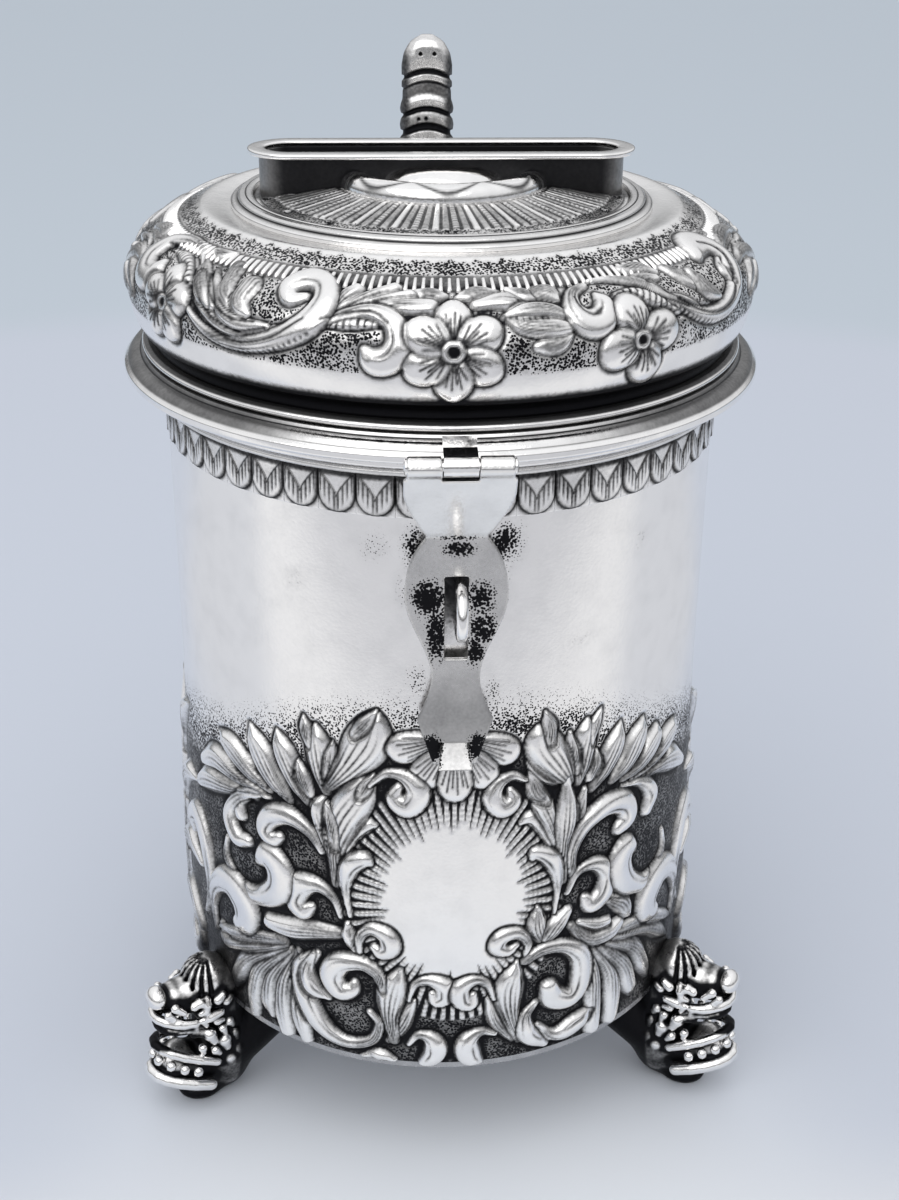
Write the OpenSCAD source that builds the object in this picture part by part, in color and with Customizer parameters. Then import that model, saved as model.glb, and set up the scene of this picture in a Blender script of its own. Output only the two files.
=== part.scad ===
// Charity box: a footed silver tankard with a hinged lid, a raised coin slot and a padlock hasp.
// The origin is the middle of the three feet on the table, +Z is up and the hasp faces -Y.

/* [Body] */
// Outer radius of the plain wall
wall_r = 43; // [38:0.5:50]
// Thickness of the wall sheet
wall_t = 1.0; // [0.8:0.1:2]
// Height of the body from the underside of its base to the mouth
body_h = 105.5; // [98:0.5:125]
// Thickness of the base plate
base_t = 1.0; // [0.8:0.1:3]
// Height of the chased band above the base
relief_h = 64; // [45:1:75]
// How far the chased band swells past the plain wall
relief_rise = 1.2; // [0:0.1:2]
// Height of the chased leaves and scrolls above the wall
chase_h = 0.8; // [0.4:0.05:1]
// Height of the moulded band at the mouth
band_h = 3.2; // [2:0.1:5]
// How far the mouth band stands out from the wall
band_rise = 2.5; // [1:0.1:4]

/* [Feet] */
// Height of the feet below the base
foot_h = 19.5; // [16:0.5:26]
// How far a foot reaches out past the wall
foot_reach = 15.5; // [13:0.5:20]
// Width of a foot across its direction
foot_w = 14; // [11:0.5:18]
// Angle of the front feet from the front
foot_angle = 60; // [50:1:70]

/* [Handle] */
// Radius of the handle's section
grip_r = 3.6; // [2.5:0.1:5]
// Distance of the grip's centre line from the wall
grip_reach = 35; // [28:0.5:45]
// Depth of the handle's upper end below the mouth
grip_top_drop = 12; // [10:0.5:16]
// Height between the handle's two ends
grip_h = 62; // [50:1:70]
// Radius of the upper bend
bend_top_r = 22; // [14:0.5:26]
// Radius of the lower bend
bend_low_r = 16; // [10:0.5:20]
// Radius of the scroll at the handle's tail
tail_r = 6; // [4:0.5:8]
// Radius of the plates that join the handle to the wall
plate_r = 6.5; // [5.5:0.1:9]
// Thickness of those plates
plate_t = 1.5; // [1:0.1:3]

/* [Lid] */
// Rise of the lid's underside above the mouth
lid_gap = 0.3; // [0.2:0.1:0.8]
// How far the lid's edge stands out past the wall
lid_overhang = 6.1; // [5:0.1:8]
// Height of the edge moulding
flange_h = 3.4; // [2.6:0.1:5]
// Height of the bead wire on the edge moulding
bead_h = 1.5; // [1:0.1:2.5]
// How far the widest part of the dome stands out past the wall
dome_out = 4.8; // [4:0.1:6]
// Height of the dome's flat top above the lid's underside
dome_h = 24.2; // [20:0.2:30]
// Thickness of the dome sheet
dome_t = 1; // [0.7:0.1:1.6]
// Depth of the inner ring below the lid's underside
bezel_h = 5; // [3:0.5:8]
// Thickness of the inner ring
bezel_t = 1; // [0.7:0.1:2]
// Clearance between the inner ring and the wall
bezel_fit = 0.6; // [0.5:0.1:1]

/* [Crown and coin slot] */
// Length of the coin slot inside its collar
slot_l = 53; // [40:0.5:58]
// Width of the coin slot inside its collar
slot_w = 8.1; // [5:0.1:10]
// Thickness of the collar's wall
collar_t = 0.9; // [0.6:0.1:1.5]
// Height of the collar's top above the dome's flat top
collar_rise = 8.1; // [6:0.1:12]
// Depth of the collar below the dome's flat top
collar_sink = 3; // [1:0.1:5]
// How far the rim turns out past the collar
rim_out = 1.7; // [1:0.1:3]
// Thickness of the rim
rim_t = 0.8; // [0.5:0.1:1.5]
// Thickness of the crown plate
crown_t = 1.2; // [0.8:0.1:2]
// How far the crown plate rises to its middle
crown_rise = 1.8; // [0.5:0.1:4]
// Margin of the crown plate beyond the collar's ends
crown_margin = 1; // [0.8:0.1:3]
// Width of the reeded step ring
ring_w = 3.4; // [2.5:0.1:5]
// Height of the reeded step ring
ring_h = 1.8; // [1.2:0.1:3]
// Width of the hollow moulding outside the step ring
cove_w = 4.4; // [2:0.1:6]
// Outer radius of the boss ring
boss_r = 15.5; // [13:0.1:18]
// Width of the boss ring
boss_w = 4; // [2.5:0.1:5]
// Height of the boss ring
boss_h = 2.4; // [1.5:0.1:4]
// Radius of the button inside the boss ring
button_r = 9.4; // [8:0.1:10]
// Height of the button
button_h = 1.8; // [1:0.1:3]

/* [Lid hinge] */
// Radius of the lid hinge's knuckles
knuckle_r = 2.4; // [2:0.1:3]
// Radius of the lid hinge's pin
pin_r = 1.2; // [0.8:0.05:1.5]
// Length of the lid's middle knuckle
leaf_l = 5; // [4:0.1:8]
// Length of each knuckle on the hinge block
side_l = 3.9; // [3:0.1:6]
// Height of the hinge axis above the lid's underside
hinge_lift = 1.2; // [0.8:0.1:2]
// Clearance round the moving edges of the hinge
hinge_gap = 0.35; // [0.3:0.05:0.6]

/* [Thumbpiece] */
// Width of the thumbpiece at its domed top
thumb_w = 10; // [8:0.2:13]
// Height of the thumbpiece above the hinge axis
thumb_h = 40.4; // [36:0.2:46]
// Thickness of the thumbpiece
thumb_t = 4.6; // [3.5:0.1:5]

/* [Hasp] */
// Radius of the hasp hinge's knuckles
hasp_knuckle_r = 1.45; // [1.2:0.05:1.8]
// Radius of the hasp hinge's pin
hasp_pin_r = 0.7; // [0.5:0.05:0.9]
// Length of each of the hasp hinge's three knuckles
hasp_knuckle_l = 4.6; // [4:0.1:6]
// Thickness of the hasp plate
hasp_t = 0.9; // [0.7:0.05:1.2]
// Gap between the wall and the back of the hasp plate
hasp_stand = 1.4; // [1.2:0.1:2.5]
// Height of the hasp's axis above the lid's underside
hasp_lift = 0.7; // [0.4:0.1:1.2]
// Depth of the plate's bend below its axis
bend_drop = 12.6; // [11:0.1:15]
// Width of the plate at its bend
bend_w = 8.6; // [7:0.1:12]
// Depth of the disc's widest line below the axis
disc_drop = 21.5; // [19.5:0.1:24]
// Width of the disc
disc_w = 14.6; // [11:0.1:18]
// Depth of the waist below the axis
waist_drop = 34.6; // [33:0.1:37]
// Width of the waist
waist_w = 7; // [6:0.1:9]
// Depth of the flared end below the axis
flare_drop = 41.3; // [39.5:0.1:43]
// Width of the flared end
flare_w = 11.1; // [9:0.1:14]
// Depth of the plate's tips below the axis
tip_drop = 48.8; // [47:0.1:52]
// Width across the plate's tips
tip_w = 6.4; // [5.5:0.1:8]
// Width of the lift tab at its fold
tab_w = 3.9; // [3:0.1:5]
// Length of the lift tab
tab_l = 4.4; // [3:0.1:6]
// Angle of the lift tab out from the plate
tab_angle = 42; // [25:1:60]

/* [Staple] */
// Thickness of the staple's wire
staple_wire = 1.7; // [1.3:0.1:2.2]
// Height of the staple over its wire
staple_h = 8; // [7.6:0.1:10]
// How far the staple stands out past the hasp plate
staple_out = 7.2; // [6.5:0.1:9]
// Depth of the staple's middle below the hasp's axis
staple_drop = 22.8; // [21.5:0.1:24]
// Sideways offset of the staple in the hasp's slot
staple_side = 0.45; // [0:0.05:0.8]
// Play between the staple and the side of the slot
slot_side_play = 0.3; // [0.2:0.05:0.6]
// Play between the staple and the top of the slot
slot_top_play = 1.2; // [1:0.1:1.6]
// Play between the staple and the foot of the slot
slot_low_play = 5.7; // [1:0.1:6.5]

/* [Hidden] */

$fn = 96;
// Solder seam between pieces that are joined on a curved face
seam = 0.05;
// Radial running clearance of the hinge pins
pin_fit = 0.05;
// End clearance between knuckles
knuckle_gap = 0.2;
// A little more than any cut needs, so that faces do not coincide
over = 1;

base_z = foot_h;
mouth_z = foot_h + body_h;
wall_in = wall_r - wall_t;
base_r = wall_r + relief_rise * 0.6;
lid_z = mouth_z + lid_gap;
flange_r = wall_r + lid_overhang;
dome_r = wall_r + dome_out;
bezel_r = wall_in - bezel_fit;
bezel_in = bezel_r - bezel_t;
ledge_z = lid_z + dome_h;

collar_l = slot_l + 2 * collar_t;
collar_w = slot_w + 2 * collar_t;
crown_r = collar_l / 2 + crown_margin;
ledge_in = crown_r - crown_margin * 0.7;
ring_in = crown_r + seam;
ring_r = ring_in + ring_w;
crown_top = ledge_z + crown_t + crown_rise;
rim_z = ledge_z + collar_rise - rim_t;

hinge_y = flange_r + knuckle_r + hinge_gap;
hinge_z = lid_z + hinge_lift;
hinge_half = leaf_l / 2 + knuckle_gap + side_l;
grip_z = mouth_z - grip_top_drop;
grip_low_z = grip_z - grip_h;
grip_y = wall_r + grip_reach;

hasp_y = -(flange_r + hasp_knuckle_r + hinge_gap);
hasp_z = lid_z + hasp_lift;
hasp_half = 1.5 * hasp_knuckle_l + knuckle_gap;
plate_back = -(wall_r + hasp_stand);
plate_front = plate_back - hasp_t;
staple_z = hasp_z - staple_drop;
slot_hi = staple_z + staple_h / 2 + slot_top_play;
slot_lo = staple_z - staple_h / 2 - slot_low_play;
slot_half = staple_wire / 2 + staple_side + slot_side_play;

silver = [0.83, 0.83, 0.82];
bright = [0.92, 0.92, 0.91];
dark_silver = [0.5, 0.5, 0.51];

// Main chased forms left of the front: degrees from the front, share of the chased height, half width
front_forms = [
    [[-25, 0.79, 0.8], [-20, 0.87, 2.1], [-17, 0.93, 2.6], [-15.5, 1, 0.5]],
    [[-26, 0.78, 0.8], [-27.5, 0.87, 1.8], [-28, 0.95, 0.4]],
    [[-36, 0.73, 0.8], [-40, 0.79, 1.9], [-45, 0.88, 0.4]],
    [[-41, 0.71, 0.8], [-52, 0.73, 2], [-61, 0.71, 1.4]],
    [[-24, 0.53, 0.9], [-24, 0.64, 1.6], [-21, 0.74, 2.3], [-16, 0.84, 0.4]],
    [[-27.5, 0.61, 0.8], [-34, 0.675, 1.7], [-40, 0.65, 1.6], [-40, 0.6, 1.2]],
    [[-54, 0.5, 0.8], [-49, 0.41, 1.5], [-40, 0.42, 1.8], [-37.5, 0.5, 2], [-41.5, 0.53, 1.4]],
    [[-23.5, 0.44, 0.8], [-28, 0.5, 1.4], [-33, 0.47, 1.8], [-32, 0.42, 1.2]],
    [[-14.5, 0.25, 1], [-18.5, 0.305, 1.6], [-25, 0.26, 1.7], [-22, 0.21, 1.2]],
    [[-37, 0.3, 0.8], [-46, 0.25, 1.3], [-54, 0.24, 1]],
    [[-61, 0.25, 1.2], [-58, 0.36, 2], [-50, 0.37, 2.4], [-49, 0.3, 1.6]],
    [[-19, 0.35, 0.7], [-16, 0.41, 1.2], [-13, 0.37, 1.2]],
    [[-15, 0.82, 0.6], [-9, 0.84, 1.2], [-7.5, 0.78, 1.5], [-11.5, 0.78, 1]],
    [[-1, 0.93, 0.8], [-10, 0.91, 2]],
    [[-1, 0.92, 0.8], [-4, 0.83, 2]]];
// Low forms that only the front has room for
low_forms = [
    [[-15.5, 0.12, 1], [-22, 0.07, 1.4], [-31, 0.14, 1.6], [-31, 0.27, 0.8]],
    [[-12, 0.08, 0.8], [-12.5, 0.2, 1.9], [-10.5, 0.3, 0.4]],
    [[-8.5, 0.22, 0.6], [-4.5, 0.275, 1], [-1.5, 0.23, 1.1]],
    [[-34, 0.28, 0.8], [-38, 0.15, 1.6], [-37.5, 0.07, 1.3]]];
// One half of the leaf on each side, in degrees from that side
side_forms = [
    [[0, 0.06, 0.8], [0, 0.22, 2.2], [0, 0.44, 3], [0, 0.63, 2.2], [0, 0.8, 0.4]],
    [[2, 0.25, 0.8], [8.5, 0.345, 1.8], [16, 0.38, 1.9], [22, 0.35, 0.9]],
    [[3, 0.42, 0.8], [8, 0.52, 1.7], [20, 0.59, 0.6]],
    [[24.5, 0.22, 0.8], [27, 0.33, 1.5], [23, 0.47, 1.9], [17, 0.47, 1.5]]];

// Points of a cubic curve from a to d, with b and c as its handles
function curve(a, b, c, d, n = 8) =
    [for (i = [0:n]) let (t = i / n, u = 1 - t)
        u * u * u * a + 3 * u * u * t * b + 3 * u * t * t * c + t * t * t * d];

// The same list from its last point to its first
function backwards(list) = [for (i = [len(list) - 1:-1:0]) list[i]];

// Points that ease in an S from a to b
function ease(a, b, n = 8) =
    [for (i = [0:n]) [a[0] + (b[0] - a[0]) * (1 - cos(180 * i / n)) / 2, a[1] + (b[1] - a[1]) * i / n]];

// Outline of the wall's outer face, swelling where it is chased
function wall_outline(grow = 0) =
    let (r = wall_r + grow, foot = base_z + base_t, top = base_z + relief_h)
    concat(curve([base_r + grow, foot], [r + relief_rise * 1.3, foot + relief_h * 0.3],
                 [r, top - relief_h * 0.4], [r, top], 10),
           [[r, mouth_z]]);

// A slab with round ends, lying along X
module stadium(l, w, h) {
    for (side = [-1, 1]) {
        translate([side * (l - w) / 2, 0, 0]) cylinder(d = w, h = h);
    }
    translate([-(l - w) / 2, -w / 2, 0]) cube([l - w, w, h]);
}

// A rod along X, centred on the middle of its length
module rod(r, l) {
    rotate([0, 90, 0]) cylinder(r = r, h = l, center = true);
}

// A flat shape drawn in Y and Z, thickened along X about the middle
module slab_yz(w) {
    rotate([90, 0, 90]) translate([0, 0, -w / 2]) linear_extrude(w) children();
}

// A flat shape drawn in X and Z, thickened along Y from y0 to y1
module slab_xz(y0, y1) {
    translate([0, y1, 0]) rotate([90, 0, 0]) linear_extrude(y1 - y0) children();
}

// Everything inside the wall's outer face, grown by the seam
module wall_core() {
    rotate_extrude()
        polygon(concat([[0, base_z], [base_r + seam, base_z]], wall_outline(seam), [[0, mouth_z]]));
}

// One side of a form's outline: its points moved out by their half widths, square to its run
function flank(form, side) =
    [for (i = [0:len(form) - 1])
        let (run = form[min(i + 1, len(form) - 1)] - form[max(i - 1, 0)], long = norm([run[0], run[1]]))
        [form[i][0] - side * form[i][2] * run[1] / long, form[i][1] + side * form[i][2] * run[0] / long]];

// One chased form raised on the wall, square to the wall at the form's middle point
module raised(form) {
    middle = form[floor(len(form) / 2)];
    r = lookup(base_z + middle[1] * relief_h, [for (q = wall_outline()) [q[1], q[0]]]);
    flat = [for (p = form) [r * sin(p[0] - middle[0]), base_z + p[1] * relief_h, p[2]]];
    rotate([0, 0, middle[0]]) translate([0, wall_t * 0.6 - r, 0]) rotate([90, 0, 0])
        linear_extrude(wall_t * 0.6 + chase_h) polygon(concat(flank(flat, 1), backwards(flank(flat, -1))));
}

// Chased forms with their mirror images, turned to a place on the wall
module chased(forms, turn) {
    rotate([0, 0, turn]) for (hand = [-1, 1], form = forms) {
        raised([for (p = form) [hand * p[0], p[1], p[2]]]);
    }
}

module body_wall() {
    color(silver) {
        rotate_extrude() polygon(concat(wall_outline(),
            [[wall_in, mouth_z], [wall_in, base_z + base_t]]));
        chased(low_forms, 0);
        for (turn = [0, 180]) chased(front_forms, turn);
        for (turn = [90, -90]) chased(side_forms, turn);
    }
}

module base_plate() {
    color(dark_silver) translate([0, 0, base_z]) cylinder(r = base_r, h = base_t);
}

module mouth_band() {
    low_h = band_h * 0.34;
    low_r = wall_r + band_rise * 0.68;
    groove_r = wall_r + band_rise * 0.5;
    top_r = wall_r + band_rise;
    z0 = mouth_z - band_h;
    round_t = band_h * 0.1;
    color(bright) rotate_extrude() polygon([
        [wall_r + seam, z0], [low_r - round_t, z0], [low_r, z0 + round_t], [low_r, z0 + low_h - round_t],
        [groove_r, z0 + low_h], [groove_r, z0 + low_h + round_t], [top_r - round_t, z0 + low_h + round_t],
        [top_r, z0 + low_h + 2 * round_t], [top_r, mouth_z - round_t], [top_r - round_t, mouth_z],
        [wall_r + seam, mouth_z]]);
}

// Side view of a foot, drawn outwards from the wall: cap, snout, open mouth, jaw and sole
function foot_side() =
    let (r0 = wall_r - 2.4, r1 = wall_r + foot_reach, h = foot_h, top = foot_h + 8.6)
    concat([[r0, h - seam], [wall_r, h - seam], [wall_r, top]],
           curve([wall_r + 3, top], [wall_r + 7, top], [r1 - 5.5, top - 2.5], [r1 - 5, h + 5], 5),
           curve([r1 - 4, h + 5], [r1 - 1, h + 5.5], [r1, h + 1.5], [r1 - 1.5, h - 1.6], 6),
           curve([r1 - 4.5, h - 4], [r1 - 9, h * 0.72], [r1 - 9, h * 0.6], [r1 - 4, h * 0.55], 6),
           curve([r1 - 1, h * 0.53], [r1 + 0.5, h * 0.45], [r1 + 0.5, h * 0.12], [r1 - 4.5, 0], 6),
           [[wall_r + 2, 0]],
           curve([wall_r - 1, 1.2], [r0 - 1.5, h * 0.16], [r0 - 1, h * 0.4], [r0, h * 0.6], 4));

// Plan of a foot: narrow at the wall, round at its tip
module foot_plan() {
    tip = wall_r + foot_reach - foot_w / 2 + over;
    translate([tip, 0]) circle(d = foot_w);
    translate([wall_r - 5, -foot_w * 0.42]) square([tip - wall_r + 5, foot_w * 0.84]);
}

module foot(azimuth) {
    cheek_r = foot_w * 0.24;
    snout_r = 3.1;
    color(dark_silver) rotate([0, 0, azimuth]) difference() {
        union() {
            intersection() {
                rotate([90, 0, 0]) translate([0, 0, -foot_w / 2])
                    linear_extrude(foot_w) polygon(foot_side());
                linear_extrude(foot_h * 2) foot_plan();
            }
            for (side = [-1, 1]) {
                translate([wall_r + 5.5, side * (foot_w / 2 - cheek_r * 0.6), foot_h + 1]) sphere(cheek_r);
            }
            translate([wall_r + foot_reach - snout_r - 0.6, 0, foot_h + 2.4]) sphere(snout_r);
        }
        wall_core();
        translate([0, 0, base_z - seam]) cylinder(r = base_r + seam, h = base_t + 2 * seam);
    }
}

module foot_left() {
    foot(-90 - foot_angle);
}

module foot_right() {
    foot(-90 + foot_angle);
}

module foot_back() {
    foot(90);
}

module staple() {
    bend_r = (staple_h - staple_wire) / 2;
    tip_y = plate_front - staple_out;
    bend_y = tip_y + staple_h / 2;
    color(bright) difference() {
        translate([staple_side, 0, staple_z]) union() {
            for (side = [-1, 1]) {
                translate([0, 0, side * bend_r]) rotate([90, 0, 0])
                    translate([0, 0, wall_r - 2]) cylinder(d = staple_wire, h = -bend_y - wall_r + 2);
            }
            translate([0, bend_y, 0]) rotate([90, 0, 90]) rotate([0, 0, 90])
                rotate_extrude(angle = 180) translate([bend_r, 0]) circle(d = staple_wire);
        }
        wall_core();
    }
}

// The handle's centre line leaves the root plate, bends down, runs straight, and bends back to the tail plate
module handle() {
    start_y = wall_r + plate_t + seam;
    end_y = start_y + relief_rise;
    straight = grip_h - bend_top_r - bend_low_r;
    color(silver) union() {
        translate([0, start_y, grip_z]) rotate([-90, 0, 0])
            cylinder(r = grip_r, h = grip_y - bend_top_r - start_y);
        translate([0, grip_y - bend_top_r, grip_z - bend_top_r]) rotate([90, 0, 90])
            rotate_extrude(angle = 90) translate([bend_top_r, 0]) circle(grip_r);
        translate([0, grip_y, grip_low_z + bend_low_r]) cylinder(r = grip_r, h = straight);
        translate([0, grip_y - bend_low_r, grip_low_z + bend_low_r]) rotate([90, 0, 90]) rotate([0, 0, -90])
            rotate_extrude(angle = 90) translate([bend_low_r, 0]) circle(grip_r);
        translate([0, end_y, grip_low_z]) rotate([-90, 0, 0])
            cylinder(r = grip_r, h = grip_y - bend_low_r - end_y);
        translate([0, grip_y - bend_low_r, grip_low_z - tail_r]) rotate([90, 0, 90]) rotate([0, 0, -60])
            rotate_extrude(angle = 150) translate([tail_r, 0]) circle(grip_r * 0.72);
    }
}

module handle_plate(z, y_out) {
    difference() {
        translate([0, wall_r - 2, z]) rotate([-90, 0, 0]) cylinder(r = plate_r, h = y_out - wall_r + 2);
        wall_core();
    }
}

module handle_root() {
    color(silver) handle_plate(grip_z, wall_r + plate_t);
}

module handle_tail() {
    color(silver) handle_plate(grip_low_z, wall_r + plate_t + relief_rise);
}

// Two knuckles on a post that is saddled to the top of the handle
module hinge_block() {
    post_front = hinge_y - knuckle_r - hinge_lift;
    shoulder_z = lid_z - 2 * knuckle_r;
    post_back = hinge_y + knuckle_r * 0.75;
    color(silver) difference() {
        union() {
            slab_yz(2 * hinge_half) polygon([
                [post_front, grip_z], [post_front, shoulder_z],
                [hinge_y - knuckle_r * 0.8, hinge_z - knuckle_r * 0.6],
                [hinge_y + knuckle_r * 0.8, hinge_z - knuckle_r * 0.6], [post_back, grip_z]]);
            translate([0, hinge_y, hinge_z]) rod(knuckle_r, 2 * hinge_half);
        }
        translate([0, hinge_y, hinge_z]) rod(pin_r + pin_fit, 2 * hinge_half + over);
        translate([0, hinge_y, hinge_z]) rod(knuckle_r + hinge_gap, leaf_l + 2 * knuckle_gap);
        translate([-leaf_l / 2 - knuckle_gap, hinge_y - knuckle_r - hinge_gap - over, hinge_z - 1])
            cube([leaf_l + 2 * knuckle_gap, 2 * (knuckle_r + hinge_gap + over), knuckle_r + over]);
        translate([0, wall_r, grip_z]) rotate([-90, 0, 0]) cylinder(r = grip_r + seam, h = grip_reach);
    }
}

// A pin along X with a low head at each end
module headed_pin(r, half, head_r, head_t) {
    rotate([0, 90, 0]) rotate_extrude() polygon([
        [0, -half - head_t], [head_r * 0.6, -half - head_t], [head_r, -half - head_t / 2], [head_r, -half],
        [r, -half], [r, half],
        [head_r, half], [head_r, half + head_t / 2], [head_r * 0.6, half + head_t], [0, half + head_t]]);
}

module lid_pin() {
    color(bright) translate([0, hinge_y, hinge_z])
        headed_pin(pin_r, hinge_half + seam, knuckle_r * 0.75, pin_r * 0.65);
}

// Section of the lid's edge moulding, grown by the seam where other pieces are cut to it
function flange_outline(grow = 0) =
    let (g = grow, r = flange_r, z = lid_z)
    concat([[bezel_in, z - g], [r - 0.3 + g, z - g], [r + g, z + 0.4], [r + g, z + flange_h * 0.36 + g]],
           curve([r - 0.6 + g, z + flange_h * 0.5 + g], [r - 1.2 + g, z + flange_h * 0.75 + g],
                 [r - 1.6 + g, z + flange_h * 0.8 + g], [r - 2.6 + g, z + flange_h * 0.86 + g], 4),
           [[r - 2.8 + g, z + flange_h + g], [bezel_in, z + flange_h + g]]);

module lid_flange() {
    inner = bezel_in;
    color(silver) difference() {
        rotate_extrude() polygon(flange_outline());
        translate([0, 0, lid_z + bezel_t]) cylinder(r = inner + 2 * bezel_t, h = flange_h);
    }
}

module lid_bezel() {
    color(dark_silver) translate([0, 0, lid_z - bezel_h]) difference() {
        cylinder(r = bezel_r, h = bezel_h);
        translate([0, 0, -over]) cylinder(r = bezel_in, h = bezel_h + 2 * over);
    }
}

module lid_bead() {
    outer = flange_r - 3.7;
    z0 = lid_z + flange_h;
    color(bright) rotate_extrude() polygon(concat([[dome_r - 4.8, z0], [outer, z0]],
        curve([outer + 0.4, z0 + bead_h * 0.15], [outer + 1, z0 + bead_h * 0.35],
              [outer + 1, z0 + bead_h * 0.65], [outer + 0.4, z0 + bead_h * 0.85], 6),
        [[outer, z0 + bead_h], [dome_r - 4.8, z0 + bead_h]]));
}

// Half section of the dome's face, from its hollow neck over the bulge to the flat that carries the crown
function dome_face(inset) =
    let (z0 = lid_z + flange_h + bead_h, span = ledge_z - z0, r = dome_r - inset, wide_z = z0 + span * 0.45,
         cove = ring_r + cove_w - inset * 0.3, top = ledge_z - inset)
    concat(curve([r - 3.2, z0], [r - 3.6, z0 + span * 0.05], [r - 3.2, z0 + span * 0.1],
                 [r - 1.5, z0 + span * 0.13], 5),
           curve([r - 1.5, z0 + span * 0.14], [r - 0.6, z0 + span * 0.22],
                 [r, wide_z - span * 0.12], [r, wide_z], 6),
           curve([r, wide_z], [r, wide_z + span * 0.3], [cove + (r - cove) * 0.66, top - span * 0.17],
                 [cove, top + 0.4], 12),
           curve([cove, top + 0.4], [cove - cove_w * 0.3, top + 0.5], [ring_r + 1.6, top], [ring_r, top], 4),
           [[ledge_in, top]]);

module lid_dome() {
    color(silver) rotate_extrude() polygon(concat(dome_face(0), backwards(dome_face(dome_t))));
}

module step_ring() {
    reed = ring_w / 3;
    color(bright) rotate_extrude() polygon([
        [ring_in, ledge_z], [ring_r, ledge_z], [ring_r, ledge_z + ring_h * 0.35],
        [ring_r - reed * 0.3, ledge_z + ring_h * 0.5], [ring_r - reed, ledge_z + ring_h * 0.55],
        [ring_r - reed, ledge_z + ring_h * 0.75], [ring_r - reed * 1.3, ledge_z + ring_h * 0.9],
        [ring_r - reed * 2, ledge_z + ring_h * 0.9], [ring_r - reed * 2.2, ledge_z + ring_h],
        [ring_in + reed * 0.3, ledge_z + ring_h], [ring_in, ledge_z + ring_h * 0.9]]);
}

// The collar's outline as a cutter, grown by the seam
module collar_cut() {
    translate([0, 0, lid_z]) stadium(collar_l + 2 * seam, collar_w + 2 * seam, dome_h * 2);
}

module crown_plate() {
    color(silver) difference() {
        rotate_extrude() polygon([
            [0, ledge_z + crown_rise], [boss_r, ledge_z + crown_rise], [crown_r - 2 * crown_margin, ledge_z],
            [crown_r, ledge_z], [crown_r, ledge_z + crown_t], [crown_r - crown_margin, ledge_z + crown_t],
            [boss_r + crown_t / 2, crown_top], [0, crown_top]]);
        collar_cut();
    }
}

module boss_ring() {
    mid = boss_r - boss_w / 2;
    color(bright) difference() {
        rotate_extrude() polygon(concat([[boss_r - boss_w, crown_top]], [[boss_r, crown_top]],
            curve([boss_r, crown_top + boss_h * 0.3], [boss_r, crown_top + boss_h * 0.9],
                  [mid + boss_w * 0.3, crown_top + boss_h], [mid, crown_top + boss_h], 5),
            curve([mid - boss_w * 0.1, crown_top + boss_h], [boss_r - boss_w, crown_top + boss_h],
                  [boss_r - boss_w, crown_top + boss_h * 0.7],
                  [boss_r - boss_w, crown_top + boss_h * 0.5], 4)));
        collar_cut();
    }
}

module boss_button() {
    color(silver) difference() {
        rotate_extrude() polygon(concat([[0, crown_top], [button_r, crown_top]],
            curve([button_r, crown_top + button_h * 0.3], [button_r, crown_top + button_h],
                  [button_r * 0.7, crown_top + button_h], [button_r * 0.5, crown_top + button_h], 5),
            [[0, crown_top + button_h]]));
        collar_cut();
    }
}

module slot_collar() {
    h = rim_z - ledge_z + collar_sink;
    color(silver) translate([0, 0, rim_z - h]) difference() {
        stadium(collar_l, collar_w, h);
        translate([0, 0, -over]) stadium(slot_l, slot_w, h + 2 * over);
    }
}

module slot_rim() {
    color(bright) translate([0, 0, rim_z]) difference() {
        stadium(collar_l + 2 * rim_out, collar_w + 2 * rim_out, rim_t);
        translate([0, 0, -over]) stadium(slot_l, slot_w, rim_t + 2 * over);
    }
}

// Everything inside the lid's edge moulding, grown by the seam
module flange_core() {
    rotate_extrude() polygon(flange_outline(seam));
}

module hinge_leaf() {
    lug_top = hinge_z + knuckle_r + hinge_gap + 0.3;
    color(silver) difference() {
        union() {
            translate([0, hinge_y, hinge_z]) rod(knuckle_r, leaf_l);
            slab_yz(leaf_l) polygon([
                [flange_r - 1.4, lid_z + flange_h * 0.5], [hinge_y, hinge_z], [hinge_y + knuckle_r, hinge_z],
                [hinge_y + knuckle_r * 0.6, lug_top], [flange_r - 1.4, lug_top]]);
        }
        translate([0, hinge_y, hinge_z]) rod(pin_r + pin_fit, leaf_l + over);
        flange_core();
    }
}

// A banded post with a domed top, in front view
module thumb_outline(z0) {
    h = thumb_h + hinge_z - z0;
    w = thumb_w / 2;
    bands = [[0.44, 0.53, 0.86], [0.585, 0.685, 0.84], [0.74, 0.84, 0.94]];
    translate([-w * 0.62, z0]) square([w * 1.24, h * 0.86]);
    for (b = bands) {
        r = (b[1] - b[0]) * h / 2;
        translate([-b[2] * w + r, z0 + b[0] * h]) square([2 * (b[2] * w - r), 2 * r]);
        for (side = [-1, 1]) {
            translate([side * (b[2] * w - r), z0 + b[0] * h + r]) circle(r);
        }
    }
    translate([0, z0 + h - w]) intersection() {
        circle(w);
        translate([-w, -h * 0.03]) square([2 * w, w + h * 0.03]);
    }
}

module thumbpiece() {
    y0 = dome_r + 0.8;
    z0 = hinge_z + knuckle_r + hinge_gap + 0.3;
    color(silver) slab_xz(y0, y0 + thumb_t) thumb_outline(z0);
}

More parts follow.
